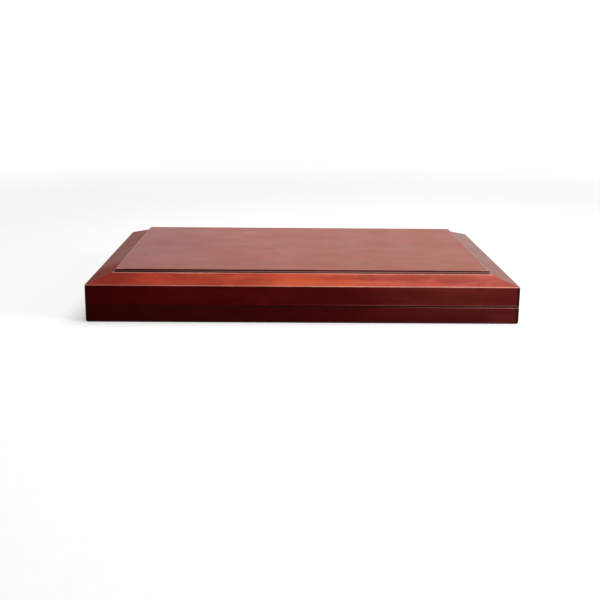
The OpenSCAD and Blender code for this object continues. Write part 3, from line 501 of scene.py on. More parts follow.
def cloth_finish(name, pale, deep):
    """Felt or baize: short matted fibres with a little sheen."""
    f = Finish(name)
    fibres = f.noise(2600, detail=3, bend=1.5)
    clumps = f.noise(380, detail=3)
    paler_marks = f.noise(14, detail=2)
    shade = f.blend(f.vary(fibres), deep, pale)
    shade = f.blend(f.ramp(clumps, 0.35, 0.7, last=0.35), shade, deep)
    shade = f.blend(f.ramp(paler_marks, 0.5, 0.75, last=0.25), shade, pale)
    f.set(Base_Color=shade, Roughness=0.95, Specular_IOR_Level=0.2)
    f.set(Sheen_Weight=0.4, Sheen_Roughness=0.5)
    f.bump(f.plus(fibres, clumps), 0.5, 0.3 * MM)
    return f.material


def resin_finish(name, pale, deep):
    """Ivory-coloured cast resin, slightly mottled."""
    f = Finish(name)
    cloud = f.noise(60, detail=4)
    veins = f.noise((90, 500, 90), detail=2, bend=1.0)
    shade = f.blend(f.ramp(cloud, 0.35, 0.7), pale, deep)
    f.set(Base_Color=f.blend(f.ramp(veins, 0.45, 0.7, last=0.25), shade, deep))
    f.set(Roughness=f.vary(cloud, 0.22, 0.34), Subsurface_Weight=0.05, Subsurface_Scale=2 * MM)
    f.bump(veins, 0.03, 0.05 * MM)
    return f.material


def pip_finish():
    f = Finish("pip_paint")
    speck = f.noise(900, detail=3)
    f.set(Base_Color=f.blend(speck, rgb(14, 13, 14), rgb(38, 34, 34)), Roughness=f.vary(speck, 0.35, 0.5))
    return f.material


def card_case_finish(name, ink, pale):
    """Card case with a plain lattice of diamonds and a knot in each."""
    f = Finish(name)
    x, y = f.axis("X"), f.axis("Y")
    up = f.maths("PINGPONG", f.maths("DIVIDE", f.plus(x, y), CASE_PITCH), 0.5)
    down = f.maths("PINGPONG", f.maths("DIVIDE", f.minus(x, y), CASE_PITCH), 0.5)
    lines = f.ramp(f.maths("MINIMUM", up, down), 0.07, 0.11, 1.0, 0.0)
    knots = f.ramp(f.plus(up, down), 0.86, 0.9)
    worn = f.noise(120, detail=4)
    fade = f.blend(f.ramp(worn, 0.45, 0.75, last=0.3), ink, pale)
    f.set(Base_Color=f.blend(f.times(f.largest(lines, knots), 0.85), fade, pale))
    f.set(Roughness=f.vary(worn, 0.4, 0.6))
    f.bump(worn, 0.1, 0.1 * MM)
    return f.material


def card_edge_finish():
    f = Finish("card_board")
    ply = f.noise((40, 40, 3000), detail=2)
    f.set(Base_Color=f.blend(ply, rgb(236, 230, 214), rgb(206, 198, 180)), Roughness=0.7)
    f.bump(ply, 0.1, 0.05 * MM)
    return f.material


# Building pieces

def add_piece(mesh, name, materials, replaced=(), body="base"):
    """Makes a mesh a visible piece that rides on a body."""
    piece = add_object(name, mesh)
    for material in materials:
        mesh.materials.append(material)
    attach(piece, body)
    if replaced:
        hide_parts(*replaced)


def finished(bm, name, materials, replaced=(), smooth=35, body="base"):
    """Turns a bmesh into a piece. Its faces shade smoothly up to an angle in degrees, or not at all."""
    mesh = bpy.data.meshes.new(name)
    bm.normal_update()
    bm.to_mesh(mesh)
    bm.free()
    if smooth:
        mesh.shade_smooth()
        mesh.set_sharp_from_angle(angle=radians(smooth))
    add_piece(mesh, name, materials, replaced, body)


WELD_REACH = 0.002 * MM
EASED_ANGLE = radians(28)


def dress(name, material, ease=0.0):
    """Gives a CAD node its material and eased edges, ease in mm; its own mesh stays as it is."""
    node = nodes[name]
    node.data.materials.clear()
    node.data.materials.append(material)
    if ease:
        weld = node.modifiers.new("weld", "WELD")
        weld.merge_threshold = WELD_REACH
        bevel = node.modifiers.new("ease", "BEVEL")
        bevel.width = ease * MM
        bevel.segments = 2
        bevel.limit_method = "ANGLE"
        bevel.angle_limit = EASED_ANGLE


def islands(name):
    """Lowest and highest corner of each separate solid of a CAD node."""
    mesh = nodes[name].data
    grid = {}
    owner = []
    for v in mesh.vertices:
        key = tuple(round(c / WELD_REACH) for c in v.co)
        owner.append(grid.setdefault(key, len(grid)))
    root = list(range(len(grid)))

    def top(i):
        while root[i] != i:
            root[i] = root[root[i]]
            i = root[i]
        return i

    for polygon in mesh.polygons:
        first = top(owner[polygon.vertices[0]])
        for v in polygon.vertices[1:]:
            root[top(owner[v])] = first
    solids = {}
    for v in mesh.vertices:
        solids.setdefault(top(owner[v.index]), []).append(v.co)
    boxes = [(Vector(map(min, zip(*places))), Vector(map(max, zip(*places)))) for places in solids.values()]
    return sorted(boxes, key=lambda b: (round(b[0].z, 4), round(-b[1].y, 4), round(b[0].x, 4)))


def softened(points, radius):
    """Rounds the inner corners of an outline with short arcs of three points."""
    result = [points[0]]
    for before, here, after in zip(points, points[1:], points[2:]):
        here_v, before_v, after_v = Vector(here), Vector(before), Vector(after)
        cut = min(radius, (before_v - here_v).length * 0.45, (after_v - here_v).length * 0.45)
        start = here_v + (before_v - here_v).normalized() * cut
        end = here_v + (after_v - here_v).normalized() * cut
        middle = (start + 2 * here_v + end) / 4
        result += [tuple(start), tuple(middle), tuple(end)]
    return result + [points[-1]]


def scaled(points, across, along):
    return [(a * across, b * along) for a, b in points]


def ring_of_points(bm, radius, height, place, steps):
    """One point where the radius is nothing, otherwise a ring of them."""
    count = steps if radius > 0 else 1
    angles = [2 * pi * k / count for k in range(count)]
    return [bm.verts.new(place @ Vector((radius * cos(a), radius * sin(a), height))) for a in angles]


def join_rings(bm, first, second, side=1):
    """Faces between two rings of points, or a ring and a tip, turned outwards on either side."""
    steps = max(len(first), len(second))
    for k in range(steps):
        n = (k + 1) % steps
        if len(first) == 1:
            corners = (first[0], second[n], second[k])
        elif len(second) == 1:
            corners = (first[k], first[n], second[0])
        else:
            corners = (first[k], first[n], second[n], second[k])
        bm.faces.new(corners if side > 0 else tuple(reversed(corners)))


def lathe(bm, outline, place, steps=40):
    """Adds a turned solid. Its outline of (radius, height) points about local Z runs from bottom to top."""
    rings = [ring_of_points(bm, radius, height, place, steps) for radius, height in outline]
    for low, high in zip(rings, rings[1:]):
        join_rings(bm, low, high)


def ball(bm, centre, radius, place, rows=12, steps=32):
    """Adds a ball as a turned solid, its centre at a height on local Z."""
    angles = [pi * k / rows for k in range(1, rows)]
    sides = [(radius * sin(a), centre - radius * cos(a)) for a in angles]
    lathe(bm, [(0.0, centre - radius), *sides, (0.0, centre + radius)], place, steps)


def block(bm, low, high, place=Matrix(), ease=0.0, material=0):
    """Adds a box between two corners, with eased edges."""
    made = bmesh.ops.create_cube(bm, size=1.0)
    size = Vector(high) - Vector(low)
    centre = (Vector(high) + Vector(low)) / 2
    for v in made["verts"]:
        v.co = place @ Vector([v.co[k] * size[k] + centre[k] for k in range(3)])
    edges = list(dict.fromkeys(e for v in made["verts"] for e in v.link_edges))
    faces = list(dict.fromkeys(face for v in made["verts"] for face in v.link_faces))
    if ease:
        done = bmesh.ops.bevel(bm, geom=edges, offset=ease, segments=2, profile=0.5, affect="EDGES")
        faces = [face for face in faces + done["faces"] if face.is_valid]
    for face in faces:
        face.material_index = material


# Chessmen. Their outlines are the solids' own, as shares of the foot's radius and of the height.

FOOT_RIM = 0.07
FOOT = [(0, 0), (1, 0), (1, FOOT_RIM), (0.84, 0.11), (0.87, 0.15)]
OUTLINES = {
    "pawn": [(0.56, 0.26), (0.40, 0.42), (0.36, 0.61), (0.64, 0.65), (0.64, 0.68), (0.34, 0.72), (0, 0.72)],
    "rook": [(0.62, 0.25), (0.52, 0.55), (0.54, 0.68), (0.78, 0.72), (0.78, 0.76), (0.68, 0.79),
             (0.72, 0.92), (0.52, 0.92), (0.50, 0.86), (0, 0.86)],
    "knight": [(0.68, 0.24), (0.66, 0.30), (0, 0.30)],
    "bishop": [(0.54, 0.24), (0.38, 0.42), (0.34, 0.56), (0.62, 0.59), (0.62, 0.62), (0.36, 0.65),
               (0.30, 0.68), (0, 0.68)],
    "queen": [(0.56, 0.23), (0.38, 0.42), (0.34, 0.62), (0.62, 0.65), (0.62, 0.68), (0.38, 0.71),
              (0.36, 0.74), (0.64, 0.90), (0.50, 0.92), (0.12, 0.95), (0, 0.95)],
    "king": [(0.56, 0.21), (0.38, 0.40), (0.34, 0.60), (0.64, 0.63), (0.64, 0.66), (0.38, 0.68),
             (0.36, 0.71), (0.62, 0.85), (0.48, 0.88), (0.12, 0.91), (0, 0.91)],
}
# Kind, width of the foot and height in mm of each group of men
MEN = {
    "king": ("king", 24, 62), "queen": ("queen", 23, 56), "bishops": ("bishop", 21.5, 46),
    "knights": ("knight", 21.5, 42), "rooks": ("rook", 20.5, 38), "pawns": ("pawn", 18, 31),
}
OUTLINE_EASE = 0.035
PAWN_BALL = 0.58
BISHOP_BALL = 0.15
QUEEN_BALL = 0.18
CORONET_BALLS = 8
ROOK_RIM = 0.74
KNIGHT_HALF = 0.38
SHADES = (("light", -1, "boxwood"), ("dark", 1, "ebonised_wood"))
SEAT_GAP = 0.1 * MM
FELT_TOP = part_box("floor_felt")[1].z


def man_outline(kind, r, h):
    return scaled(FOOT + OUTLINES[kind], r, h)


def lie_angle(kind, r, h):
    """Tilt at which a man comes to lie on its foot and its widest part."""
    if kind in ("knight", "rook"):
        touching = {"knight": KNIGHT_HALF, "rook": ROOK_RIM}[kind]
        return atan((1 - touching) * r / ((1 - FOOT_RIM) * h))
    above_foot = [(x, z) for x, z in man_outline(kind, r, h) if z > 0.3 * h]
    angle = min(atan((r - x) / (z - FOOT_RIM * h)) for x, z in above_foot)
    if kind == "pawn":
        rise = (1 - FOOT_RIM) * h - PAWN_BALL * r
        angle = min(angle, atan(r / rise) - asin(PAWN_BALL * r / hypot(r, rise)))
    return angle


# The horse's head, from the back of the neck over the mane to the face and the chest
MANE_START = Vector((-0.66, 0.40))
MANE_BEND = Vector((-0.72, 0.74))
MANE_END = Vector((-0.20, 0.93))
MANE_POINTS = 15
GROOVE_IN = 0.05
GROOVE_DOWN = 0.004
GROOVE_RELIEF = 0.80
FACE = [(-0.08, 0.99), (0.06, 0.93), (0.26, 0.885), (0.52, 0.79), (0.80, 0.69), (0.87, 0.63), (0.83, 0.585),
        (0.62, 0.61), (0.80, 0.56), (0.68, 0.52), (0.46, 0.545), (0.32, 0.58), (0.18, 0.54), (0.30, 0.45),
        (0.50, 0.36), (0.58, 0.27)]
NAPE = (-0.62, 0.27)
HEAD_MIDDLE = (-0.10, 0.62)
CHEEK_RINGS = (0.985, 0.94, 0.86, 0.72, 0.5, 0.25)
EYE = (0.24, 0.27, 0.80, 0.085, 12)
NOSTRIL = (0.74, 0.11, 0.65, 0.06, 10)
EAR = [(0, -0.12), (0.11, -0.08), (0.12, 0.04), (0.06, 0.22), (0, 0.30)]


def knight_profile(r, h):
    """Side view of the horse's head as (x, z, relief) points, with less relief in the mane's grooves."""
    points = []
    for k in range(MANE_POINTS):
        t = k / (MANE_POINTS - 1)
        at = (1 - t) ** 2 * MANE_START + 2 * t * (1 - t) * MANE_BEND + t * t * MANE_END
        groove = k % 2
        relief = GROOVE_RELIEF if groove else 1.0
        points.append(((at.x + GROOVE_IN * groove) * r, (at.y - GROOVE_DOWN * groove) * h, relief))
    rounded = softened(scaled(FACE, r, h), 0.06 * r)
    return points + [(x, z, 1.0) for x, z in rounded + scaled([NAPE], r, h)]


def clamped(value):
    return min(1.0, max(0.0, value))


def knight_cheek(bm, r, h, place, side, profile, rim):
    """One side of the horse's head: its profile filled out in rings, thinner at the muzzle."""
    middle = Vector((HEAD_MIDDLE[0] * r, HEAD_MIDDLE[1] * h))
    half = KNIGHT_HALF * r
    outer = rim
    for share in CHEEK_RINGS:
        ring = []
        for x, z, relief in profile:
            at = middle + (Vector((x, z)) - middle) * share
            muzzle = 1 - 0.42 * clamped((at.x / r - 0.2) / 0.6)
            carved = 1 - (1 - relief) * clamped((share - 0.45) / 0.3)
            deep = half * sqrt(1 - share ** 4) * muzzle * carved
            ring.append(bm.verts.new(place @ Vector((at.x, side * deep, at.y))))
        join_rings(bm, outer, ring, side)
        outer = ring
    centre = bm.verts.new(place @ Vector((middle.x, side * half, middle.y)))
    join_rings(bm, outer, [centre], side)


def knight_head(bm, r, h, place):
    """Horse's head with its cheeks, eyes, nostrils and ears."""
    profile = knight_profile(r, h)
    rim = [bm.verts.new(place @ Vector((x, 0, z))) for x, z, _ in profile]
    for side in (-1, 1):
        knight_cheek(bm, r, h, place, side, profile, rim)
        for x, y, z, size, steps in (EYE, NOSTRIL):
            ball(bm, 0.0, size * r, place @ moved(x * r, side * y * r, z * h), rows=6, steps=steps)
        ear = place @ moved(-0.07 * r, side * 0.15 * r, 0.90 * h)
        lathe(bm, scaled(EAR, r, r), ear @ Matrix.Rotation(-0.2 * side, 4, "X"), steps=12)


def bishop_head(bm, r, h, place, rings=30):
    """Mitre: an egg with a slanted cut in one side."""
    low, high = 0.66 * h, 0.945 * h
    before = len(bm.verts)
    outline = [(0.0, low)]
    for k in range(1, rings):
        u = k / rings
        outline.append((0.5 * r * sin(pi * u ** 0.66) ** 0.8, low + u * (high - low)))
    lathe(bm, outline + [(0.0, high)], Matrix())
    bm.verts.ensure_lookup_table()
    across = Vector((-0.62, 0, 0.78))
    cut_middle = Vector((0.15 * r, 0, 0.79 * h))
    for v in bm.verts[before:]:
        if v.co.x > 0 and abs((v.co - cut_middle).dot(across)) < 0.075 * r:
            v.co.x *= 0.62
            v.co.y *= 0.86
        v.co = place @ v.co


def rook_crown(bm, r, h, place, merlons=6, steps=5):
    """Battlements: raised blocks round the rook's rim."""
    inner, outer, low = 0.52 * r, ROOK_RIM * r, 0.88 * h
    for m in range(merlons):
        rows = []
        for k in range(steps + 1):
            angle = 2 * pi * (m + 0.70 * k / steps) / merlons
            along = Vector((cos(angle), sin(angle), 0))
            rows.append([bm.verts.new(place @ (along * radius + Vector((0, 0, z))))
                         for radius, z in ((inner, low), (outer, low), (outer, h), (inner, h))])
        for a, b in zip(rows, rows[1:]):
            join_rings(bm, b, a)
        bm.faces.new(rows[0])
        bm.faces.new(list(reversed(rows[-1])))


def queen_coronet(bm, r, h, place):
    """Small balls round the queen's rim."""
    for k in range(CORONET_BALLS):
        turn = Matrix.Rotation(2 * pi * (k + 0.5) / CORONET_BALLS, 4, "Z")
        ball(bm, 0.915 * h, 0.10 * r, place @ turn @ moved(0.55 * r, 0, 0), rows=6, steps=10)


def add_man(bm, kind, r, h, place):
    lathe(bm, softened(man_outline(kind, r, h), OUTLINE_EASE * h), place)
    if kind == "pawn":
        ball(bm, h - PAWN_BALL * r, PAWN_BALL * r, place, rows=16, steps=40)
    if kind == "rook":
        rook_crown(bm, r, h, place)
    if kind == "bishop":
        bishop_head(bm, r, h, place)
        ball(bm, h - BISHOP_BALL * r, BISHOP_BALL * r, place)
    if kind == "queen":
        ball(bm, h - QUEEN_BALL * r, QUEEN_BALL * r, place)
        queen_coronet(bm, r, h, place)
    if kind == "king":
        thick = 0.08 * r
        for half, low, high in ((thick, 0.89 * h, h), (0.22 * r, 0.94 * h, 0.97 * h)):
            block(bm, (-half, -thick, low), (half, thick, high), place, 0.02 * r)
    if kind == "knight":
        knight_head(bm, r, h, place)


def make_men(woods):
    """Lays each man where its solid lies, on the felt and with its foot towards the middle of the box."""
    for shade, side, slot in SHADES:
        for group, (kind, across, tall) in MEN.items():
            r, h = across / 2 * MM, tall * MM
            tilt = lie_angle(kind, r, h)
            name = f"{shade}_{group}"
            bm = bmesh.new()
            for low, high in islands(name):
                inner = low.x if side > 0 else high.x
                lift = FELT_TOP + SEAT_GAP + r * cos(tilt) + FOOT_RIM * h * sin(tilt)
                start = inner + side * r * sin(tilt)
                place = moved(start, (low.y + high.y) / 2, lift)
                place = place @ Matrix.Rotation(side * (pi / 2 + tilt), 4, "Y")
                if kind == "knight":
                    place = place @ Matrix.Rotation(pi / 2, 4, "Z")
                add_man(bm, kind, r, h, place)
            finished(bm, f"{name}_turned", [woods[shade]], [name], 50)


# Draughtsmen: rings of one face and the waist round the side, as shares of the radius and of the thickness

DRAUGHT_FACE = [(0.0, 0.10), (0.20, 0.10), (0.26, 0.13), (0.32, 0.10), (0.62, 0.10), (0.68, 0.04),
                (0.74, 0.10), (0.78, 0.10), (0.82, 0.0), (0.96, 0.0), (1.0, 0.07)]
DRAUGHT_WAIST = [(1.0, 0.40), (0.975, 0.46), (0.975, 0.54), (1.0, 0.60)]
DRAUGHT_EASE = 0.25 * MM


def make_draughts(woods):
    for shade, _, slot in SHADES:
        bm = bmesh.new()
        for low, high in islands(f"{shade}_draughts"):
            r = (high.x - low.x) / 2
            t = high.z - low.z
            lower = scaled(DRAUGHT_FACE, r, t)
            upper = [(a, t - b) for a, b in reversed(lower)]
            outline = softened(lower + scaled(DRAUGHT_WAIST, r, t) + upper, DRAUGHT_EASE)
            lathe(bm, outline, moved((low.x + high.x) / 2, (low.y + high.y) / 2, low.z), steps=48)
        finished(bm, f"{shade}_draughts_turned", [woods[shade]], [f"{shade}_draughts"], 40)


# Pips, as places in a square from -1 to 1

PIPS = {
    0: [], 1: [(0, 0)], 2: [(-1, -1), (1, 1)], 3: [(-1, -1), (0, 0), (1, 1)],
    4: [(-1, -1), (-1, 1), (1, -1), (1, 1)], 5: [(-1, -1), (-1, 1), (0, 0), (1, -1), (1, 1)],
    6: [(-1, -1), (-1, 0), (-1, 1), (1, -1), (1, 0), (1, 1)],
}


def pip(bm, place, radius, depth):
    """A shallow painted dish with a fine raised lip."""
    lathe(bm, [(0, -depth), (radius, -depth), (radius, depth), (0.9 * radius, 0.9 * depth),
               (0.6 * radius, 0.3 * depth), (0, 0.15 * depth)], place, steps=16)


DOMINO_EASE = 0.7 * MM
DOMINO_PIP = 1.5 * MM
DOMINO_PIP_DEPTH = 0.08 * MM
DOMINO_PITCH = 0.27
LINE_HALF = 0.35 * MM
LINE_INSET = 2 * MM
PIN = [(0, -0.1 * MM), (1.2 * MM, -0.1 * MM), (1.1 * MM, 0.15 * MM), (0.7 * MM, 0.4 * MM), (0, 0.45 * MM)]


def make_dominoes(resin, paint, brass):
    tiles, marks, pins = bmesh.new(), bmesh.new(), bmesh.new()
    for (low, high), values in zip(islands("dominoes"), combinations_with_replacement(range(7), 2)):
        centre = (low + high) / 2
        block(tiles, low, high, ease=DOMINO_EASE)
        top = high.z
        half = (high.x - low.x) / 4
        pitch = (high.y - low.y) * DOMINO_PITCH
        for side, value in zip((-1, 1), values):
            for u, v in PIPS[value]:
                place = moved(centre.x + side * half + u * pitch * 0.95, centre.y + v * pitch, top)
                pip(marks, place, DOMINO_PIP, DOMINO_PIP_DEPTH)
        block(marks, (centre.x - LINE_HALF, low.y + LINE_INSET, top - 0.1 * MM),
              (centre.x + LINE_HALF, high.y - LINE_INSET, top + 0.03 * MM))
        lathe(pins, PIN, moved(centre.x, centre.y, top), steps=20)
    finished(tiles, "domino_tiles", [resin], ["dominoes"])
    finished(marks, "domino_pips", [paint])
    finished(pins, "domino_pins", [brass])


# Dice and the doubling cube. Each face has the direction it looks in and a value.

FACES = (((0, 0, 1), 1), ((0, 0, -1), 6), ((1, 0, 0), 2), ((-1, 0, 0), 5), ((0, 1, 0), 3), ((0, -1, 0), 4))
CUBE_NUMBERS = (64, 2, 4, 8, 16, 32)
DIE_EASE = 1.6 * MM
DIE_PIP = 1.35 * MM
DIE_PIP_DEPTH = 0.05 * MM
DIE_PITCH = 0.24
NUMBER_HEIGHT = 0.62
NUMBER_DEPTH = 0.03 * MM


def facing(direction):
    """Turn that brings local Z into a direction."""
    return Vector(direction).to_track_quat("Z", "Y").to_matrix().to_4x4()


def make_dice(resin, paint):
    bodies, marks = bmesh.new(), bmesh.new()
    for k, (low, high) in enumerate(islands("dice")):
        block(bodies, low, high, ease=DIE_EASE)
        centre, side = (low + high) / 2, high.x - low.x
        pitch = side * DIE_PITCH
        spin = Matrix.Rotation(pi / 2 * k, 3, "X") @ Matrix.Rotation(pi / 2 * (k // 2), 3, "Z")
        for direction, value in FACES:
            turn = facing(spin @ Vector(direction))
            for u, v in PIPS[value]:
                place = turn @ moved(u * pitch, v * pitch, side / 2)
                pip(marks, Matrix.Translation(centre) @ place, DIE_PIP, DIE_PIP_DEPTH)
    finished(bodies, "dice_bodies", [resin], ["dice"])
    finished(marks, "dice_pips", [paint])


def make_doubling_cube(resin, paint):
    """The doubling cube with its plain numbers, one on each face."""
    low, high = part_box("doubling_cube")
    bm = bmesh.new()
    block(bm, low, high, ease=DIE_EASE)
    centre, side = (low + high) / 2, high.x - low.x
    finished(bm, "doubling_cube_body", [resin], ["doubling_cube"])
    for (direction, _), number in zip(FACES, CUBE_NUMBERS):
        name = f"cube_number_{number}"
        curve = bpy.data.curves.new(name, "FONT")
        curve.body = str(number)
        curve.size = side * NUMBER_HEIGHT
        curve.align_x = "CENTER"
        curve.align_y = "CENTER"
        curve.extrude = NUMBER_DEPTH
        text = add_object(name, curve)
        text.matrix_world = Matrix.Translation(centre) @ facing(direction) @ moved(0, 0, side / 2)
        bpy.context.view_layer.update()
        mesh = bpy.data.meshes.new_from_object(text.evaluated_get(bpy.context.evaluated_depsgraph_get()))
        mesh.transform(text.matrix_world)
        bpy.data.objects.remove(text)
        add_piece(mesh, name, [paint])


# Card packs: a tuck case over a slightly smaller board, with a thin frame printed on its top

CASE_PALE = rgb(232, 224, 204)
CASE_INKS = {"left": ("card_red", rgb(150, 34, 32)), "right": ("card_blue", rgb(34, 58, 118))}
CASE_INSET = 0.6 * MM
BOARD_INSET = 0.4 * MM
FRAME_INSET = 3.5 * MM
FRAME_WIDE = 0.5 * MM
FRAME_SUNK = 0.2 * MM
FRAME_TOP = 0.08 * MM


def make_card_packs(edge):
    for side, (slot, ink) in CASE_INKS.items():
        low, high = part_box(f"card_pack_{side}")
        case = card_case_finish(f"{slot}_case", ink, CASE_PALE)
        bm = bmesh.new()
        block(bm, (low.x + CASE_INSET, low.y, low.z), (high.x - CASE_INSET, high.y, high.z - 0.15 * MM),
              ease=0.5 * MM)
        block(bm, (low.x, low.y + BOARD_INSET, low.z + 0.5 * MM),
              (high.x, high.y - BOARD_INSET, high.z - 0.9 * MM), ease=0.3 * MM, material=1)
        left, right = low.x + FRAME_INSET, high.x - FRAME_INSET
        front, back = low.y + FRAME_INSET, high.y - FRAME_INSET
        bottom, top = high.z - FRAME_SUNK, high.z - FRAME_TOP
        for y in (front, back - FRAME_WIDE):
            block(bm, (left, y, bottom), (right, y + FRAME_WIDE, top), material=1)
        for x in (left, right - FRAME_WIDE):
            block(bm, (x, front, bottom), (x + FRAME_WIDE, back, top), material=1)
        finished(bm, f"{slot}_pack", [case, edge], [f"card_pack_{side}"])


# Games board of thin veneers on a core: the chess field below and the points above

VENEER = 0.25 * MM
CORE_EASE = 0.3 * MM
SQUARE = 32 * MM
STRING = 1.5 * MM
OUTER_STRING = 0.8 * MM
BOARD_RIM = 14 * MM
POINTS = 6
POINT_REACH = 0.42


def square_frame(bm, centre, inner, outer, bottom, top):
    """Four strips of veneer between two squares about a centre, given by half their sides."""
    for s in (-1, 1):
        a, b = sorted((centre.y + s * inner, centre.y + s * outer))
        block(bm, (centre.x - outer, a, bottom), (centre.x + outer, b, top))
        a, b = sorted((centre.x + s * inner, centre.x + s * outer))
        block(bm, (a, centre.y - inner, bottom), (b, centre.y + inner, top))


def chess_field(low, high, light, dark, border):
    """Underside: eight by eight squares, three strings round them and a border out to the edges."""
    centre = (low + high) / 2
    bottom, top = low.z, low.z + VENEER
    half = 4 * SQUARE
    for i in range(8):
        for j in range(8):
            x, y = centre.x - half + i * SQUARE, centre.y - half + j * SQUARE
            block(dark if (i + j) % 2 else light, (x, y, bottom), (x + SQUARE, y + SQUARE, top))
    edge = half
    for wide, bm in ((STRING, dark), (STRING, light), (OUTER_STRING, dark)):
        square_frame(bm, centre, edge, edge + wide, bottom, top)
        edge += wide
    for s in (-1, 1):
        a, b = sorted((centre.x + s * edge, high.x if s > 0 else low.x))
        block(border, (a, low.y, bottom), (b, high.y, top))
        a, b = sorted((centre.y + s * edge, high.y if s > 0 else low.y))
        block(border, (centre.x - edge, a, bottom), (centre.x + edge, b, top))


def point(bm, x, width, root, tip, bottom, top):
    """A long triangle of veneer, from its root at the rim to its tip."""
    corners = [(x, root), (x + width, root), (x + width / 2, tip)]
    if tip < root:
        corners.reverse()
    lower = [bm.verts.new((px, py, bottom)) for px, py in corners]
    upper = [bm.verts.new((px, py, top)) for px, py in corners]
    bm.faces.new(list(reversed(lower)))
    bm.faces.new(upper)
    join_rings(bm, lower, upper)


def points_field(low, high, light, dark, border):
    """Top: a rim and a middle bar, with six points from the front and six from the back on either side."""
    centre = (low + high) / 2
    bottom, top = high.z - VENEER, high.z
    front, back = low.y + BOARD_RIM, high.y - BOARD_RIM
    block(border, (low.x, low.y, bottom), (high.x, front, top))
    block(border, (low.x, back, bottom), (high.x, high.y, top))
    for x in (low.x, centre.x - BOARD_RIM / 2, high.x - BOARD_RIM):
        block(border, (x, front, bottom), (x + BOARD_RIM, back, top))
    width = (high.x - low.x - 3 * BOARD_RIM) / 2 / POINTS
    reach = (back - front) * POINT_REACH
    for left in (low.x + BOARD_RIM, centre.x + BOARD_RIM / 2):
        for k in range(POINTS):
            x = left + k * width
            point(dark if k % 2 else light, x, width, front, front + reach, bottom, top)
            point(light if k % 2 else dark, x, width, back, back - reach, bottom, top)


def make_games_board(woods):
    low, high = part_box("games_board")
    core, light, dark, border = bmesh.new(), bmesh.new(), bmesh.new(), bmesh.new()
    block(core, (low.x, low.y, low.z + VENEER), (high.x, high.y, high.z - VENEER), ease=CORE_EASE)
    chess_field(low, high, light, dark, border)
    points_field(low, high, light, dark, border)
    for bm, name, wood_name, replaced, smooth in (
            (core, "core", "walnut", ["games_board"], 35), (light, "light_veneer", "field_light", (), 0),
            (dark, "dark_veneer", "field_dark", (), 0), (border, "border", "board_edge", (), 0)):
        finished(bm, f"games_board_{name}", [woods[wood_name]], replaced, smooth, "lid")


# Dressing of the CAD nodes

BRASS_NODES = ("peg_cover", "peg_cover_screw", "turn_button_left", "turn_button_right",
               "turn_button_screws", "base_hinge_leaves", "lid_hinge_leaves", "hinge_pins",
               "base_hinge_screws", "lid_hinge_screws")
INLAY_PLACES = (-19.5, -1.2, 0.4, 18.7)
INLAY_WIDE = 0.8


def dress_case(woods, brass, felt, baize):
    for name, direction in (("front", "X"), ("back", "X"), ("left", "Y"), ("right", "Y")):
        dress(f"base_{name}_wall", woods["side_" + direction], 0.3)
        dress(f"lid_{name}_rail", woods["rail_" + name], 0.35)
        dress(f"liner_{name}", woods["lining_" + direction], 0.4)
    dress("lid_panel", woods["panel"], 0.4)
    for name, finish in (("base_floor", woods["floor"]), ("base_baize", baize), ("floor_felt", felt),
                         ("lid_lining", felt), ("cribbage_board", woods["walnut"]),
                         ("light_pegs", woods["light"]), ("dark_pegs", woods["dark"])):
        dress(name, finish)
    for name in ("divider_front", "card_dividers", "divider_dominoes", "board_batten", "board_ledge"):
        dress(name, woods["lining_X"], 0.4)
    for name in ("divider_left", "divider_right", "draughts_dividers", "divider_dice"):
        dress(name, woods["lining_Y"], 0.4)
    for name in BRASS_NODES:
        dress(name, brass, 0.12)


def make_cribbage_inlay(woods):
    """Thin strings of pale veneer beside the cribbage board's tracks, at places in mm behind its middle."""
    low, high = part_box("cribbage_board")
    bm = bmesh.new()
    middle = (low.y + high.y) / 2
    for offset in INLAY_PLACES:
        block(bm, (low.x + 5 * MM, middle + offset * MM, high.z - 0.2 * MM),
              (high.x - 26 * MM, middle + (offset + INLAY_WIDE) * MM, high.z + 0.02 * MM))
    finished(bm, "cribbage_inlay", [woods["light"]], smooth=0)


# Studio

ROOM_LIGHT = 0.12
FLOOR_REACH = 6.0
FLOOR_PALE = 0.65
FLOOR_GLOW = 0.45
FLOOR_BOUNCE = (0.2, 0.2, 0.2, 1.0)
SHADOW_NEAR = 0.5
SHADOW_FAR = 1.6
# Name, place, size and power of each lamp
LAMPS = (
    ("top_lamp", (0.35, 0.1, 1.6), (1.7, 1.2), 25),
    ("right_lamp", (0.85, -0.6, 0.4), (0.5, 0.4), 6),
)


def background_rays(tree):
    """1 for what the camera sees and for what gloss or glass shows of it, 0 for bounced light."""
    seen = wire(tree, "ShaderNodeLightPath", "Is Camera Ray", {})
    for kind in ("Is Glossy Ray", "Is Transmission Ray"):
        ray = wire(tree, "ShaderNodeLightPath", kind, {})
        seen = wire(tree, "ShaderNodeMath", 0, {0: seen, 1: ray}, operation="ADD", use_clamp=True)
    return seen


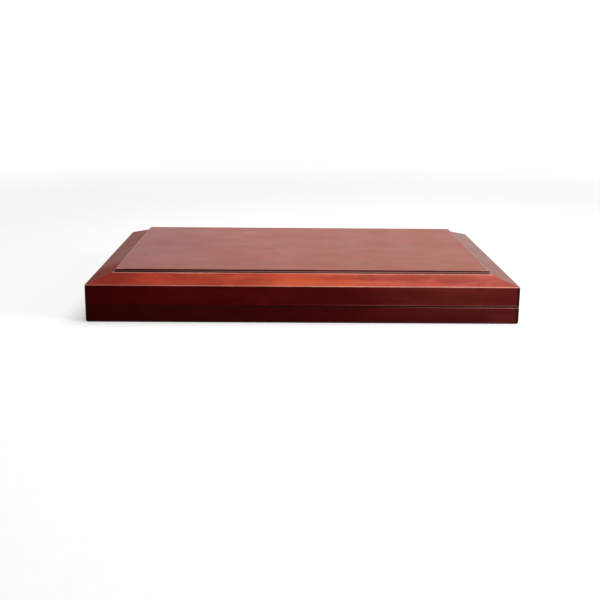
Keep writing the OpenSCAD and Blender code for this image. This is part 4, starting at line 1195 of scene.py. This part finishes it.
def floor_material():
    """Pale floor that keeps the shadow near the object and fades to white further out."""
    f = Finish("floor_white")
    f.tree.nodes.remove(f.surface)
    away = f.node("ShaderNodeVectorMath", "Value", {0: f.place}, operation="LENGTH")
    grain_tone = f.vary(f.noise(90, detail=3), FLOOR_PALE - 0.01, FLOOR_PALE + 0.01)
    pale = f.node("ShaderNodeBsdfDiffuse", 0, {"Color": grain_tone})
    glow = f.node("ShaderNodeEmission", 0, {"Strength": FLOOR_GLOW})
    lit = f.node("ShaderNodeAddShader", 0, {0: pale, 1: glow})
    white = f.node("ShaderNodeEmission", 0, {"Strength": 1.0})
    shown = f.node("ShaderNodeMixShader", 0, {0: f.ramp(away, SHADOW_NEAR, SHADOW_FAR), 1: lit, 2: white})
    bounce = f.node("ShaderNodeBsdfDiffuse", 0, {"Color": FLOOR_BOUNCE})
    both = f.node("ShaderNodeMixShader", 0, {0: background_rays(f.tree), 1: bounce, 2: shown})
    feed(f.tree, f.tree.nodes["Material Output"].inputs["Surface"], both)
    return f.material


def make_floor():
    bm = bmesh.new()
    bmesh.ops.create_grid(bm, x_segments=1, y_segments=1, size=FLOOR_REACH)
    mesh = bpy.data.meshes.new("floor")
    bm.to_mesh(mesh)
    bm.free()
    mesh.materials.append(floor_material())
    add_object("floor", mesh)


def make_light():
    """Soft lamps that point at the middle of the box, in an evenly lit white room."""
    for name, place, size, power in LAMPS:
        data = bpy.data.lights.new(name, "AREA")
        data.shape = "RECTANGLE"
        data.size, data.size_y = size
        data.energy = power
        light = add_object(name, data)
        light.location = place
        light.rotation_euler = (-Vector(place)).to_track_quat("-Z", "Y").to_euler()
    world = bpy.data.worlds.new("studio")
    bpy.context.scene.world = world
    world.use_nodes = True
    tree = world.node_tree
    sky = tree.nodes["Background"].inputs
    level = wire(tree, "ShaderNodeMapRange", "Result",
                 {"Value": background_rays(tree), "To Min": ROOM_LIGHT, "To Max": 1.0})
    feed(tree, sky["Color"], (1, 1, 1, 1))
    feed(tree, sky["Strength"], level)
    bpy.context.scene.view_settings.view_transform = "Standard"


def main():
    make_camera()
    woods = make_woods()
    brass = brass_finish()
    felt = cloth_finish("green_felt", rgb(44, 104, 66), rgb(22, 66, 40))
    baize = cloth_finish("dark_baize", rgb(112, 94, 102), rgb(70, 56, 64))
    resin = resin_finish("tile_resin", rgb(240, 230, 204), rgb(226, 210, 176))
    paint = pip_finish()
    dress_case(woods, brass, felt, baize)
    make_cribbage_inlay(woods)
    make_men(woods)
    make_draughts(woods)
    make_dominoes(resin, paint, brass)
    make_dice(resin, paint)
    make_doubling_cube(resin, paint)
    make_card_packs(card_edge_finish())
    make_games_board(woods)
    make_floor()
    make_light()


main()
